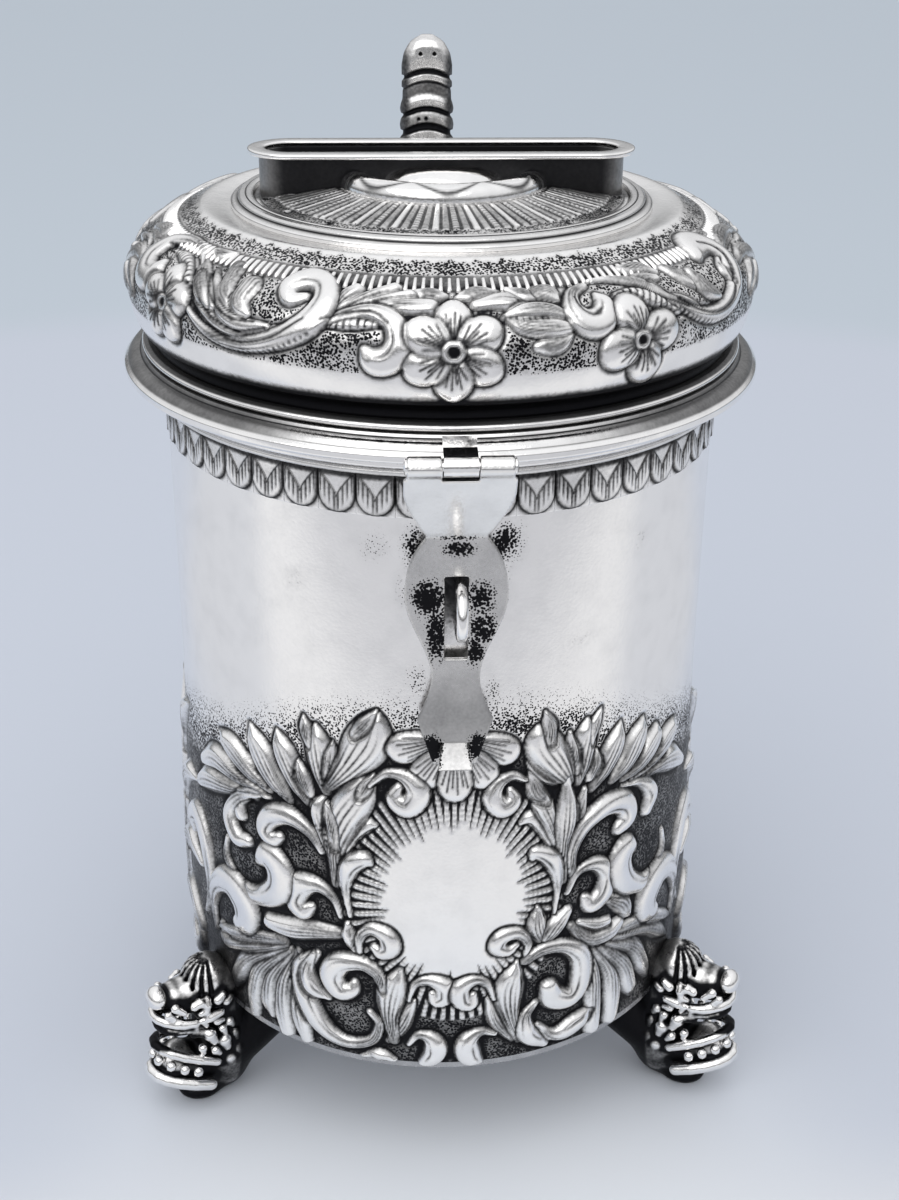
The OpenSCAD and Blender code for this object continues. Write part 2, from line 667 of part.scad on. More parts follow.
// Strap over the lid's edge with the hasp's middle knuckle
module hasp_leaf() {
    color(bright) difference() {
        union() {
            translate([0, hasp_y, hasp_z]) rod(hasp_knuckle_r, hasp_knuckle_l);
            slab_yz(hasp_knuckle_l) polygon([
                [hasp_y, hasp_z - hasp_knuckle_r * 0.2], [hasp_y, hasp_z + hasp_knuckle_r],
                [-flange_r + 0.2, lid_z + flange_h * 0.36 + 1.4],
                [-flange_r + 1.8, lid_z + flange_h * 0.86 + 0.7],
                [-flange_r + 2.4, lid_z + flange_h * 0.86 + 0.3], [-flange_r + 1.8, lid_z + flange_h * 0.5],
                [-flange_r, lid_z + flange_h * 0.2]]);
        }
        translate([0, hasp_y, hasp_z]) rod(hasp_pin_r + pin_fit, hasp_knuckle_l + over);
        flange_core();
    }
}

module hasp_pin() {
    color(bright) translate([0, hasp_y, hasp_z])
        headed_pin(hasp_pin_r, hasp_half + seam, hasp_knuckle_r * 0.8, hasp_pin_r * 0.6);
}

// Right half of the hasp plate's front view, from its top edge to its tip
function hasp_half_outline() =
    let (z = hasp_z, top = hasp_half + 0.5)
    concat([[hasp_half, z + 1], [hasp_half, z - hasp_knuckle_r], [top, z - hasp_knuckle_r - 0.4]],
           curve([top, z - bend_drop * 0.35], [top - 0.4, z - bend_drop * 0.6],
                 [bend_w / 2 + 1, z - bend_drop * 0.85], [bend_w / 2, z - bend_drop], 6),
           curve([bend_w / 2, z - bend_drop], [bend_w / 2 + 1.6, z - bend_drop - 2],
                 [disc_w / 2, z - disc_drop + 4.5], [disc_w / 2, z - disc_drop], 6),
           ease([disc_w / 2, z - disc_drop], [waist_w / 2, z - waist_drop], 10),
           curve([waist_w / 2, z - waist_drop], [waist_w / 2, z - waist_drop - 2.5],
                 [flare_w / 2 - 0.7, z - flare_drop + 1.5], [flare_w / 2, z - flare_drop], 6),
           [[tip_w / 2, z - tip_drop]]);

// Side view of the plate: down and in from the knuckle to the bend, then straight down
function hasp_side() =
    let (mid = (plate_back + plate_front) / 2, half = hasp_t / 2, top_y = hasp_y - hasp_knuckle_r + half)
    [[top_y - half, hasp_z], [top_y + half, hasp_z], [top_y + half, hasp_z - 0.6],
     [mid + half, hasp_z - bend_drop], [mid + half, hasp_z - tip_drop],
     [mid - half, hasp_z - tip_drop], [mid - half, hasp_z - bend_drop - 0.5], [top_y - half, hasp_z - 1]];

module hasp() {
    right = hasp_half_outline();
    left = [for (p = backwards(right)) [-p[0], p[1]]];
    fold_z = hasp_z - tip_drop + tab_l * 0.85;
    knuckle_x = hasp_knuckle_l + knuckle_gap;
    color(bright) difference() {
        union() {
            difference() {
                intersection() {
                    slab_yz(2 * hasp_half + 4) polygon(hasp_side());
                    slab_xz(hasp_y - 4, plate_back + over) polygon(concat(right, left));
                }
                translate([-hasp_knuckle_l / 2 - knuckle_gap, hasp_y - 4, hasp_z - hasp_knuckle_r - 0.6])
                    cube([hasp_knuckle_l + 2 * knuckle_gap, 8, hasp_knuckle_r * 2 + 4]);
                translate([-tab_w / 2 - 0.2, plate_front - over, hasp_z - tip_drop - over])
                    cube([tab_w + 0.4, hasp_t + 2 * over, fold_z - hasp_z + tip_drop + over]);
            }
            for (side = [-1, 1]) {
                translate([side * knuckle_x, hasp_y, hasp_z]) rod(hasp_knuckle_r, hasp_knuckle_l);
            }
            translate([0, plate_back, fold_z]) rotate([-tab_angle, 0, 0])
                translate([-tab_w / 2, -hasp_t, -tab_l]) cube([tab_w, hasp_t, tab_l + hasp_t * 0.6]);
        }
        translate([0, hasp_y, hasp_z]) rod(hasp_pin_r + pin_fit, 2 * hasp_half + over);
        translate([-slot_half, plate_front - over, slot_lo])
            cube([2 * slot_half, hasp_t + 2 * over, slot_hi - slot_lo]);
    }
}

body_wall();
base_plate();
mouth_band();
foot_left();
foot_right();
foot_back();
staple();
handle();
handle_root();
handle_tail();
hinge_block();
lid_pin();
lid_flange();
lid_bezel();
lid_bead();
lid_dome();
step_ring();
crown_plate();
boss_ring();
boss_button();
slot_collar();
slot_rim();
hinge_leaf();
thumbpiece();
hasp_leaf();
hasp_pin();
hasp();
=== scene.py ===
"""A chased silver tzedakah box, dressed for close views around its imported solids.

Lengths are in millimetres above the table and turn into metres where a mesh is made.
The hasp faces -Y, the handle +Y. On the wall and the lid, u runs round the box from the
middle of its front and v runs up the surface.
"""

import logging
import math
from collections.abc import Callable, Sequence
from dataclasses import dataclass, field
from enum import Enum

import bpy
import numpy as np
from mathutils import Matrix, Vector


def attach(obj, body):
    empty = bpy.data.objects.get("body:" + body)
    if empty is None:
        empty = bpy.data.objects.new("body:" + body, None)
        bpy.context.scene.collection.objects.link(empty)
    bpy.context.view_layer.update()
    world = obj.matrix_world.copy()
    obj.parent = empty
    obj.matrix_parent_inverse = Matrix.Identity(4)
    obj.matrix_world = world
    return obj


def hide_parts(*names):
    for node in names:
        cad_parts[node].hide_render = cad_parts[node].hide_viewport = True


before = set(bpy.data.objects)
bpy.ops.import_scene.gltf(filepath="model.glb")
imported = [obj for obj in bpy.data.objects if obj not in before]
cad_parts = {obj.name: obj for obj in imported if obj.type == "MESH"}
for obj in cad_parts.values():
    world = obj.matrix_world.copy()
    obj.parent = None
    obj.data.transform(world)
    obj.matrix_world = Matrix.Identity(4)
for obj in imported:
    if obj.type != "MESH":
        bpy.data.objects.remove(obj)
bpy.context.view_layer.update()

MM = 0.001
LOG = logging.getLogger("tzedakah_box")
Points = Sequence[Sequence[float]]
Colour = tuple[float, float, float]
Socket = bpy.types.NodeSocket


class Body(Enum):
    """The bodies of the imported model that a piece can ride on."""

    BOX = "body"
    LID = "lid"
    HASP = "hasp"


class Slot(Enum):
    """The record's material slots."""

    POLISHED = "polished_silver"
    CHASED = "chased_silver"
    CAST = "cast_silver"
    INNER = "inner_silver"


class Form(Enum):
    """How the section of a chased lobe rises from the ground."""

    ROLL = "rolled edge with a line inside its curl"
    LEAF = "flatter blade with engraved veins"
    COMB = "blade cut across by short strokes"
    PETAL = "plain swelling"


LAYERS = ("height", "dark", "dots", "form")
WEAR_AND_SHADE = ("tarnish", "stipple")
RING_STEPS = 288
# Sizes that several classes share, in millimetres and degrees
WALL_RADIUS = 43.0
CROWN_FOOT = 149.5
FOOT_TURNS = {"left": -60.0, "right": 60.0, "back": 180.0}
# A leaf's engraved lines: place across it, and the shares of its length between which each fades out
VEINS = ((-0.64, 0.3, 0.75), (-0.32, 0.45, 0.95), (0.02, 0.6, 1.0), (0.35, 0.4, 0.9), (0.66, 0.3, 0.75))


def smooth(low: float, high: float, value: np.ndarray) -> np.ndarray:
    """Eases from 0 at low to 1 at high."""
    t = np.clip((value - low) / (high - low), 0.0, 1.0)
    return t * t * (3.0 - 2.0 * t)


def band(rise: tuple[float, float], fall: tuple[float, float], value: np.ndarray) -> np.ndarray:
    """Eases up to 1 over one range and back to 0 over another."""
    return smooth(*rise, value) * smooth(*fall, value)


def bezier(start: Sequence[float], out: Sequence[float], back: Sequence[float], end: Sequence[float],
           steps: int = 12) -> np.ndarray:
    """Samples a cubic curve.

    Args:
        start: First point.
        out: Handle of the first point.
        back: Handle of the last point.
        end: Last point.
        steps: Number of stretches.

    Returns:
        The points, the first one left out so that curves can follow one another.
    """
    t = np.linspace(0.0, 1.0, steps + 1)[1:, None]
    a, b, c, d = (np.array(p, float) for p in (start, out, back, end))
    return (1 - t) ** 3 * a + 3 * t * (1 - t) ** 2 * b + 3 * t * t * (1 - t) * c + t ** 3 * d


def spline(knots: Points, spacing: float) -> np.ndarray:
    """Runs a smooth curve through every knot.

    Args:
        knots: Points of any dimension, widths included.
        spacing: Distance between samples, measured in the first two coordinates.

    Returns:
        The samples, one row each.
    """
    p = np.array(knots, float)
    p = np.vstack([2 * p[0] - p[1], p, 2 * p[-1] - p[-2]])
    runs = []
    for a, b, c, d in zip(p, p[1:], p[2:], p[3:]):
        n = max(2, int(np.hypot(*(c - b)[:2]) / spacing) + 1)
        t = np.arange(n)[:, None] / n
        runs.append(0.5 * (2 * b + (c - a) * t + (2 * a - 5 * b + 4 * c - d) * t ** 2
                           + (3 * b - a - 3 * c + d) * t ** 3))
    return np.vstack([*runs, p[-2:-1]])


def fillet(outline: Points, radius: float, steps: int = 4) -> np.ndarray:
    """Rounds the corners of a closed outline.

    Args:
        outline: Corners in order.
        radius: Length of the rounding along each side, less where a side is short.
        steps: Stretches in one rounded corner.

    Returns:
        The rounded outline.
    """
    p = np.array(outline, float)
    t = np.linspace(0.0, 1.0, steps + 1)[:, None]
    rounded = []
    for a, b, c in zip(np.roll(p, 1, 0), p, np.roll(p, -1, 0)):
        before, after = np.linalg.norm(a - b), np.linalg.norm(c - b)
        start = b + (a - b) / before * min(radius, 0.45 * before)
        end = b + (c - b) / after * min(radius, 0.45 * after)
        rounded.append((1 - t) ** 2 * start + 2 * t * (1 - t) * b + t * t * end)
    return np.vstack(rounded)


def grid_quads(rows: int, cols: int, wrap_rows: bool = False, wrap_cols: bool = False) -> np.ndarray:
    """Lists the quads of a grid of points numbered row by row.

    Args:
        rows: Number of rows.
        cols: Number of columns.
        wrap_rows: Joins the last row to the first.
        wrap_cols: Joins the last column to the first.

    Returns:
        One row of four point numbers for each quad.
    """
    ids = np.arange(rows * cols).reshape(rows, cols)
    if wrap_rows:
        ids = np.vstack([ids, ids[:1]])
    if wrap_cols:
        ids = np.hstack([ids, ids[:, :1]])
    return np.stack([ids[:-1, :-1], ids[:-1, 1:], ids[1:, 1:], ids[1:, :-1]], -1).reshape(-1, 4)


def edge_ring(rows: int, cols: int) -> np.ndarray:
    """Lists the points round the edge of a grid, in order."""
    ids = np.arange(rows * cols).reshape(rows, cols)
    return np.concatenate([ids[0], ids[1:, -1], ids[-1, -2::-1], ids[-2:0:-1, 0]])


def lengths(path: np.ndarray) -> np.ndarray:
    """Gives the length along a path up to each point, measured in the first two coordinates."""
    return np.concatenate([[0.0], np.cumsum(np.hypot(*np.diff(path[:, :2], axis=0).T))])


def polar(r: np.ndarray | float, angle: np.ndarray, z: np.ndarray) -> np.ndarray:
    """Gives the points at a distance from the axis, an angle from the front and a height."""
    return np.stack(np.broadcast_arrays(r * np.sin(angle), -r * np.cos(angle), z), -1)


@dataclass
class Shell:
    """A closed surface in millimetres, with its wear, oxide and painted shade laid on its points."""

    points: np.ndarray
    quads: np.ndarray
    caps: list[np.ndarray] = field(default_factory=list)
    tarnish: np.ndarray | None = None
    stipple: np.ndarray | None = None

    def paint(self, name: str) -> np.ndarray:
        """Gives the named wear or painted shade, or bare metal where none was painted."""
        value = getattr(self, name)
        return np.zeros(len(self.points)) if value is None else value

    def turned(self, degrees: float) -> "Shell":
        """Gives a copy turned about the box's axis.

        Args:
            degrees: The turn, toward the right as seen from the front.

        Returns:
            The copy.
        """
        c, s = math.cos(math.radians(degrees)), math.sin(math.radians(degrees))
        spin = np.array([[c, s, 0], [-s, c, 0], [0, 0, 1]])
        return Shell(self.points @ spin, self.quads, self.caps, self.tarnish, self.stipple)

    def volume(self) -> float:
        """Gives the signed volume, which is negative where the faces look inward.

        Returns:
            Cubic millimetres.
        """
        loops = [self.quads[:, [0, 1, 2]], self.quads[:, [0, 2, 3]]]
        loops += [np.stack([np.full(len(c) - 2, c[0]), c[1:-1], c[2:]], 1) for c in self.caps]
        a, b, c = (self.points[np.vstack(loops)[:, k]] for k in range(3))
        return float(np.einsum("ij,ij->i", a, np.cross(b, c)).sum()) / 6.0

    def mesh(self, name: str, crease: float = 180.0) -> bpy.types.Mesh:
        """Makes the Blender mesh.

        Args:
            name: Name of the mesh.
            crease: Angle in degrees above which an edge stays sharp.

        Returns:
            The mesh in metres, smooth apart from its caps and creases, facing outward.
        """
        quads, caps = self.quads, self.caps
        if self.volume() < 0:
            quads, caps = quads[:, ::-1], [c[::-1] for c in caps]
        loops = np.concatenate([quads.ravel(), *caps]).astype(np.int32)
        sizes = np.concatenate([np.full(len(quads), 4), [len(c) for c in caps]]).astype(np.int32)
        made = bpy.data.meshes.new(name)
        made.vertices.add(len(self.points))
        made.vertices.foreach_set("co", (self.points * MM).astype(np.float32).ravel())
        made.loops.add(len(loops))
        made.loops.foreach_set("vertex_index", loops)
        made.polygons.add(len(sizes))
        made.polygons.foreach_set("loop_start", np.concatenate([[0], np.cumsum(sizes)[:-1]]).astype(np.int32))
        made.polygons.foreach_set("use_smooth", np.arange(len(sizes)) < len(quads))
        for wear in WEAR_AND_SHADE:
            layer = made.attributes.new(wear, "FLOAT", "POINT")
            layer.data.foreach_set("value", self.paint(wear).astype(np.float32))
        made.update(calc_edges=True)
        made.validate()
        if crease < 180.0:
            made.set_sharp_from_angle(angle=math.radians(crease))
        return made


def joined(shells: Sequence[Shell]) -> Shell:
    """Puts several shells in one.

    Args:
        shells: The shells.

    Returns:
        One shell with all their faces and wear.
    """
    starts = np.cumsum([0] + [len(s.points) for s in shells])
    return Shell(
        np.vstack([s.points for s in shells]),
        np.vstack([s.quads + n for s, n in zip(shells, starts)]),
        [c + n for s, n in zip(shells, starts) for c in s.caps],
        *(np.concatenate([s.paint(wear) for s in shells]) for wear in WEAR_AND_SHADE))


def revolve(outline: np.ndarray) -> Shell:
    """Turns a closed outline about the box's axis.

    Args:
        outline: Corners as radius and height, none on the axis.

    Returns:
        The turned ring.
    """
    angle = np.linspace(0.0, 2 * math.pi, RING_STEPS, endpoint=False)
    points = polar(outline[:, :1], angle, outline[:, 1:]).reshape(-1, 3)
    return Shell(points, grid_quads(len(outline), RING_STEPS, True, True))


def slab(top: np.ndarray, low: np.ndarray) -> Shell:
    """Closes a patch and its underside into a solid.

    Args:
        top: Points in rows and columns.
        low: The points under them.

    Returns:
        The solid.
    """
    rows, cols = top.shape[:2]
    count, quads, ring = rows * cols, grid_quads(rows, cols), edge_ring(rows, cols)
    ahead = np.roll(ring, -1)
    rim = np.stack([ring + count, ahead + count, ahead, ring], 1)
    return Shell(np.vstack([top.reshape(-1, 3), low.reshape(-1, 3)]),
                 np.vstack([quads, quads[:, ::-1] + count, rim]))


def tube(path: np.ndarray, radii: np.ndarray, sides: int = 20) -> Shell:
    """Sweeps a round section along a path.

    Args:
        path: Points of the centre line.
        radii: Radius at each point.
        sides: Points round the section.

    Returns:
        The rod with flat ends.
    """
    ahead = np.gradient(path, axis=0)
    ahead /= np.linalg.norm(ahead, axis=1, keepdims=True)
    side = np.cross(ahead[0], np.eye(3)[np.argmin(np.abs(ahead[0]))])
    angle = np.linspace(0.0, 2 * math.pi, sides, endpoint=False)[:, None]
    rings = []
    for p, t, r in zip(path, ahead, radii):
        side = side - t * (side @ t)
        side /= np.linalg.norm(side)
        rings.append(p + r * (np.cos(angle) * side + np.sin(angle) * np.cross(t, side)))
    last = len(path) * sides
    return Shell(np.vstack(rings), grid_quads(len(path), sides, False, True),
                 [np.arange(sides)[::-1], np.arange(last - sides, last)])


def linked(name: str, data: bpy.types.ID) -> bpy.types.Object:
    """Puts a new object in the scene.

    Args:
        name: Its name.
        data: Its mesh, camera or lamp.

    Returns:
        The object.
    """
    made = bpy.data.objects.new(name, data)
    bpy.context.scene.collection.objects.link(made)
    return made


@dataclass(frozen=True)
class Wiring:
    """Adds nodes to one node tree."""

    tree: bpy.types.NodeTree

    def add(self, kind: str, inputs: dict[str | int, object] | None = None,
            **settings: object) -> bpy.types.Node:
        """Adds a node.

        Args:
            kind: The node's type.
            inputs: What its inputs take: a socket to wire, or a value to set.
            settings: The node's own settings, which are made first.

        Returns:
            The node.
        """
        node = self.tree.nodes.new(kind)
        for name, value in settings.items():
            setattr(node, name, value)
        self.take(node, inputs or {})
        return node

    def take(self, node: bpy.types.Node, inputs: dict[str | int, object]) -> None:
        """Wires or sets inputs of a node.

        Args:
            node: The node.
            inputs: A socket to wire or a value to set for each input.
        """
        for name, value in inputs.items():
            if isinstance(value, Socket):
                self.tree.links.new(value, node.inputs[name])
            else:
                node.inputs[name].default_value = value

    def spread(self, source: Socket, low: Sequence[float], high: Sequence[float] = (0.0, 1.0),
               ease: str = "LINEAR") -> Socket:
        """Maps one range onto another, clamped.

        Args:
            source: The value.
            low: The range that it comes from.
            high: The range that it goes to.
            ease: How it goes from end to end.

        Returns:
            The mapped value.
        """
        names = ("Value", "From Min", "From Max", "To Min", "To Max")
        inputs = dict(zip(names, (source, *low, *high)))
        return self.add("ShaderNodeMapRange", inputs, interpolation_type=ease).outputs["Result"]

    def sums(self, kind: str, first: Socket | float, second: Socket | float, clamp: bool = False) -> Socket:
        """Joins two values by the named operation."""
        node = self.add("ShaderNodeMath", {0: first, 1: second}, operation=kind, use_clamp=clamp)
        return node.outputs["Value"]

    def blend(self, share: Socket, low: Socket | Colour, high: Colour) -> Socket:
        """Mixes two colours.

        Args:
            share: Share of the second colour.
            low: First colour.
            high: Second colour.

        Returns:
            The mixed colour.
        """
        start = low if isinstance(low, Socket) else (*low, 1.0)
        inputs = {"Factor": share, "A": start, "B": (*high, 1.0)}
        return self.add("ShaderNodeMix", inputs, data_type="RGBA").outputs["Result"]


@dataclass(frozen=True)
class SilverFinish:
    """Silver with oxide in its hollows and painted shade where its points carry it; colours are linear, and
    scales count features in a metre.
    """

    name: str
    bright: Colour = (0.965, 0.953, 0.942)
    # The oxide colour also darkens the painted shade that the tarnish layer carries
    oxide: Colour = (0.014, 0.014, 0.016)
    haze: Colour = (0.60, 0.60, 0.61)
    polish: float = 0.16
    bite: float = 0.46
    mottle: float = 0.22
    wear: float = 0.05
    cloud_scale: float = 260.0
    speck_scale: float = 1900.0
    pit_scale: float = 2800.0
    pit_cover: tuple[float, float] = (0.68, 0.94)
    noise_range: tuple[float, float] = (0.3, 0.7)
    bump_strength: float = 0.16
    bump_depth: float = 0.00012

    def material(self) -> bpy.types.Material:
        """Builds the node material.

        Returns:
            The material, which reads the tarnish, painted shade and stipple put on the points.
        """
        made = bpy.data.materials.new(self.name)
        made.use_nodes = True
        wiring = Wiring(made.node_tree)
        spread, sums = wiring.spread, wiring.sums
        place = wiring.add("ShaderNodeTexCoord").outputs["Object"]

        def texture(kind: str, scale: float, detail: float, output: str) -> Socket:
            """Adds a texture on the object's own coordinates."""
            return wiring.add(kind, {"Vector": place, "Scale": scale, "Detail": detail}).outputs[output]

        cloud = texture("ShaderNodeTexNoise", self.cloud_scale, 4.0, "Fac")
        speck = texture("ShaderNodeTexNoise", self.speck_scale, 2.0, "Fac")
        pits = texture("ShaderNodeTexVoronoi", self.pit_scale, 0.0, "Distance")
        tarnish, stipple = (wiring.add("ShaderNodeAttribute", attribute_name=layer).outputs["Fac"]
                            for layer in WEAR_AND_SHADE)
        swing = (-2.5 * self.mottle, 2.5 * self.mottle)
        drift = sums("ADD", spread(cloud, self.noise_range, swing), spread(speck, self.noise_range, swing))
        open_share = sums("MULTIPLY", tarnish, spread(tarnish, (0.0, 1.0), (1.0, 0.0)))
        uneven = sums("MULTIPLY", open_share, drift)
        cover = sums("MULTIPLY", stipple, spread(cloud, self.noise_range, self.pit_cover))
        dots = spread(sums("SUBTRACT", cover, pits), (0.0, 0.1))
        stain = sums("MAXIMUM", sums("ADD", tarnish, uneven, clamp=True), dots)
        film = spread(cloud, (0.45, 0.75), (0.0, self.wear * 4.0))
        metal = wiring.blend(film, self.bright, self.haze)
        rough = spread(stain, (0.0, 0.8), (self.polish, self.bite))
        hair = spread(speck, self.noise_range, (-self.wear, self.wear))
        bump = wiring.add("ShaderNodeBump", {
            "Strength": self.bump_strength, "Distance": self.bump_depth,
            "Height": sums("ADD", speck, sums("MULTIPLY", stipple, pits))})
        wiring.take(made.node_tree.nodes["Principled BSDF"], {
            "Metallic": 1.0, "Base Color": wiring.blend(stain, metal, self.oxide),
            "Roughness": sums("ADD", rough, hair, clamp=True), "Normal": bump.outputs["Normal"]})
        return made


@dataclass
class Studio:
    """Hands out finishes and enters finished pieces in the frame."""

    finishes: dict[Slot, SilverFinish]
    made: dict[Slot, bpy.types.Material] = field(default_factory=dict)

    def material(self, slot: Slot) -> bpy.types.Material:
        """Gives the material of a slot, made on first use.

        Args:
            slot: The record's slot.

        Returns:
            The material.
        """
        if slot not in self.made:
            self.made[slot] = self.finishes[slot].material()
        return self.made[slot]

    def enter(self, mesh: bpy.types.Mesh, body: Body, slot: Slot, *nodes: str) -> bpy.types.Object:
        """Puts a mesh in the scene as a piece of the box.

        Args:
            mesh: The finished mesh; the piece takes its name.
            body: The body that it rides on.
            slot: The record's slot that gives its finish.
            nodes: The CAD nodes that it stands for.

        Returns:
            The piece.
        """
        piece = linked(mesh.name, mesh)
        mesh.materials.clear()
        mesh.materials.append(self.material(slot))
        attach(piece, body.value)
        if nodes:
            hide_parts(*nodes)
        LOG.info("%s rides on %s: %d faces", piece.name, body.value, len(mesh.polygons))
        return piece

    def keep(self, slot: Slot, *nodes: str) -> None:
        """Gives kept CAD nodes their finish.

        Args:
            slot: The record's slot.
            nodes: Names of the nodes.
        """
        for node in nodes:
            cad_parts[node].data.materials.clear()
            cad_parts[node].data.materials.append(self.material(slot))
            LOG.info("%s keeps its solid", node)


@dataclass
class Relief:
    """A chased sheet laid flat on cells that wrap round: height, darkness from oxide and painted shade, punch
    marks and raised forms.
    """

    around: float
    rise: float
    cell: float = 0.2
    spacing: float = 0.16
    soft: float = 0.12
    vein_half: float = 0.165

    def __post_init__(self) -> None:
        """Starts from a bare sheet."""
        shape = (round(self.rise / self.cell) + 1, round(self.around / self.cell))
        for layer in LAYERS:
            setattr(self, layer, np.zeros(shape))
        self.u, self.v = np.meshgrid(np.arange(shape[1]) * self.cell, np.arange(shape[0]) * self.cell)
        self.u = np.where(self.u > self.around / 2, self.u - self.around, self.u)

    def near(self, path: np.ndarray, reach: float) -> tuple[tuple, np.ndarray, np.ndarray]:
        """Finds the cells round a path.

        Args:
            path: Points as u and v.
            reach: Distance beyond the path's own box.

        Returns:
            The cells' place in the sheet, and their u and v without the wrap.
        """
        low, high = path[:, :2].min(0) - reach, path[:, :2].max(0) + reach
        rows = np.arange(max(0, int(low[1] / self.cell)),
                         min(self.height.shape[0] - 1, int(high[1] / self.cell)) + 1)
        cols = np.arange(math.floor(low[0] / self.cell), math.ceil(high[0] / self.cell) + 1)
        u, v = np.meshgrid(cols * self.cell, rows * self.cell)
        return np.ix_(rows, cols % self.height.shape[1]), u, v

    @staticmethod
    def follow(path: np.ndarray, u: np.ndarray, v: np.ndarray) -> tuple[np.ndarray, np.ndarray]:
        """Measures cells against a path with widths.

        Args:
            path: Points as u, v and half width.
            u: The cells' place round the sheet.
            v: The cells' place up the sheet.

        Returns:
            The distance outside the edge, and the number of the nearest path point.
        """
        edge, nearest = np.full(u.shape, 99.0), np.zeros(u.shape, int)
        for k, (pu, pv, half) in enumerate(path):
            gap = np.hypot(u - pu, v - pv) - half
            closer = gap < edge
            edge[closer], nearest[closer] = gap[closer], k
        return edge, nearest

    def lobe(self, knots: Points, form: Form = Form.LEAF, rise: float = 0.8, groove: float = 0.72) -> None:
        """Raises one lobe over what was chased before, with painted shade on its shoulders, and sinks a dark
        groove round it.

        Args:
            knots: Points of its middle line as u, v and half width.
            form: Its section.
            rise: Height above the ground of a broad lobe.
            groove: Width of the dark groove.
        """
        path = spline(knots, self.spacing)
        length = lengths(path)
        if form is Form.ROLL:
            path[:, 2] *= 0.66 + 0.52 * smooth(0.15, 0.7, length / length[-1])
        path[:, 2] = np.maximum(path[:, 2], 0.06)
        pick, u, v = self.near(path, path[:, 2].max() + groove + 0.5)
        if not u.size:
            return
        edge, nearest = self.follow(path, u, v)
        half = path[nearest, 2]
        ahead = np.gradient(path[:, :2], axis=0)
        ahead /= np.linalg.norm(ahead, axis=1, keepdims=True) + 1e-9
        side = (u - path[nearest, 0]) * ahead[nearest, 1] - (v - path[nearest, 1]) * ahead[nearest, 0]
        run, share = length[nearest], (length / length[-1])[nearest]
        curl = float(np.sign(np.sum(ahead[1:, 0] * ahead[:-1, 1] - ahead[1:, 1] * ahead[:-1, 0])))
        inside = smooth(self.soft, -self.soft, edge)
        deep = np.clip(-edge / half, 0.0, 1.0)
        bulge = np.sqrt(1.0 - (1.0 - deep) ** 2)
        lift = rise * np.clip(half / 1.5, 0.4, 1.1)

        def stroke(place: float, first: float, last: float) -> np.ndarray:
            """Marks a line along the lobe that fades out between two shares of its length."""
            return np.exp(-((side - place * half) / self.vein_half) ** 2) * smooth(last, first, share)

        cut = np.zeros(u.shape)
        if form is Form.LEAF:
            bulge = 0.8 * smooth(0.0, 0.5, deep) + 0.2 * deep
            cut = np.maximum.reduce([stroke(*vein) * smooth(0.5, 0.95, half * (1.0 - 0.6 * abs(vein[0])))
                                     for vein in VEINS])
        elif form is Form.ROLL:
            ring = stroke(0.42 * curl, 0.8, 0.95) * smooth(0.52, 0.68, share)
            root = np.maximum(stroke(-0.42, 0.3, 0.58), stroke(0.0, 0.15, 0.45))
            root = np.maximum(root, stroke(0.42, 0.35, 0.66))
            cut = np.maximum(ring, 0.95 * root) * smooth(0.5, 0.8, half)
        elif form is Form.COMB:
            cut = smooth(0.35, 0.8, np.cos(2 * math.pi * run / 0.95))
        cut *= smooth(0.04, 0.25, deep)
        # Painted shade darkens the shoulders toward the lobe's edge; a long leaf's root is darkened where its
        # engraved lines crowd
        shade = np.maximum(cut, 0.46 * smooth(0.3, 0.0, deep))
        if form is Form.LEAF:
            long_leaf = smooth(6.0, 9.0, np.float64(length[-1]))
            shade = np.maximum(shade, 0.66 * smooth(0.24, 0.0, share) * long_leaf)
        outside = (1.0 - smooth(self.soft, groove * (1.0 - 0.28 * self.form[pick]), edge)) * (1.0 - inside)
        raised = (lift * bulge - 0.18 * cut) * inside - 0.25 * outside
        self.height[pick] = self.height[pick] * (1 - inside) + raised
        self.dark[pick] = np.maximum(self.dark[pick] * (1 - inside) + shade * inside, outside)
        self.dots[pick] *= 1 - np.maximum(inside, outside)
        self.form[pick] = np.maximum(self.form[pick], inside)

    def lobes(self, strokes: Sequence[Points], form: Form, rise: float, swell: float = 1.0,
              groove: float = 0.72, base: float = 0.0) -> None:
        """Raises a lobe on each stroke.

        Args:
            strokes: The knots of each lobe.
            form: Their section.
            rise: Their height.
            swell: How much wider than the strokes they are.
            groove: Width of the dark groove round each.
            base: The sheet's v where the strokes count from.
        """
        for knots in strokes:
            self.lobe([(u, v + base, half * swell) for u, v, half in knots], form, rise, groove)

    def line(self, knots: Points, half: float, depth: float, tone: float, dash: float = 0.0,
             base: float = 0.0) -> None:
        """Engraves a line.

        Args:
            knots: Points as u and v.
            half: Half the line's width.
            depth: How deep it is cut.
            tone: How dark it is.
            dash: Distance between the beads of a beaded line, or 0 for a plain one.
            base: The sheet's v where the knots count from.
        """
        path = spline([(u, v + base, half) for u, v in knots], self.spacing)
        pick, u, v = self.near(path, half + 0.4)
        if not u.size:
            return
        edge, nearest = self.follow(path, u, v)
        mark = smooth(0.14, -0.08, edge)
        if dash:
            mark *= smooth(-0.3, 0.4, np.cos(2 * math.pi * lengths(path)[nearest] / dash))
        self.height[pick] -= depth * mark
        self.dark[pick] = np.maximum(self.dark[pick], tone * mark)

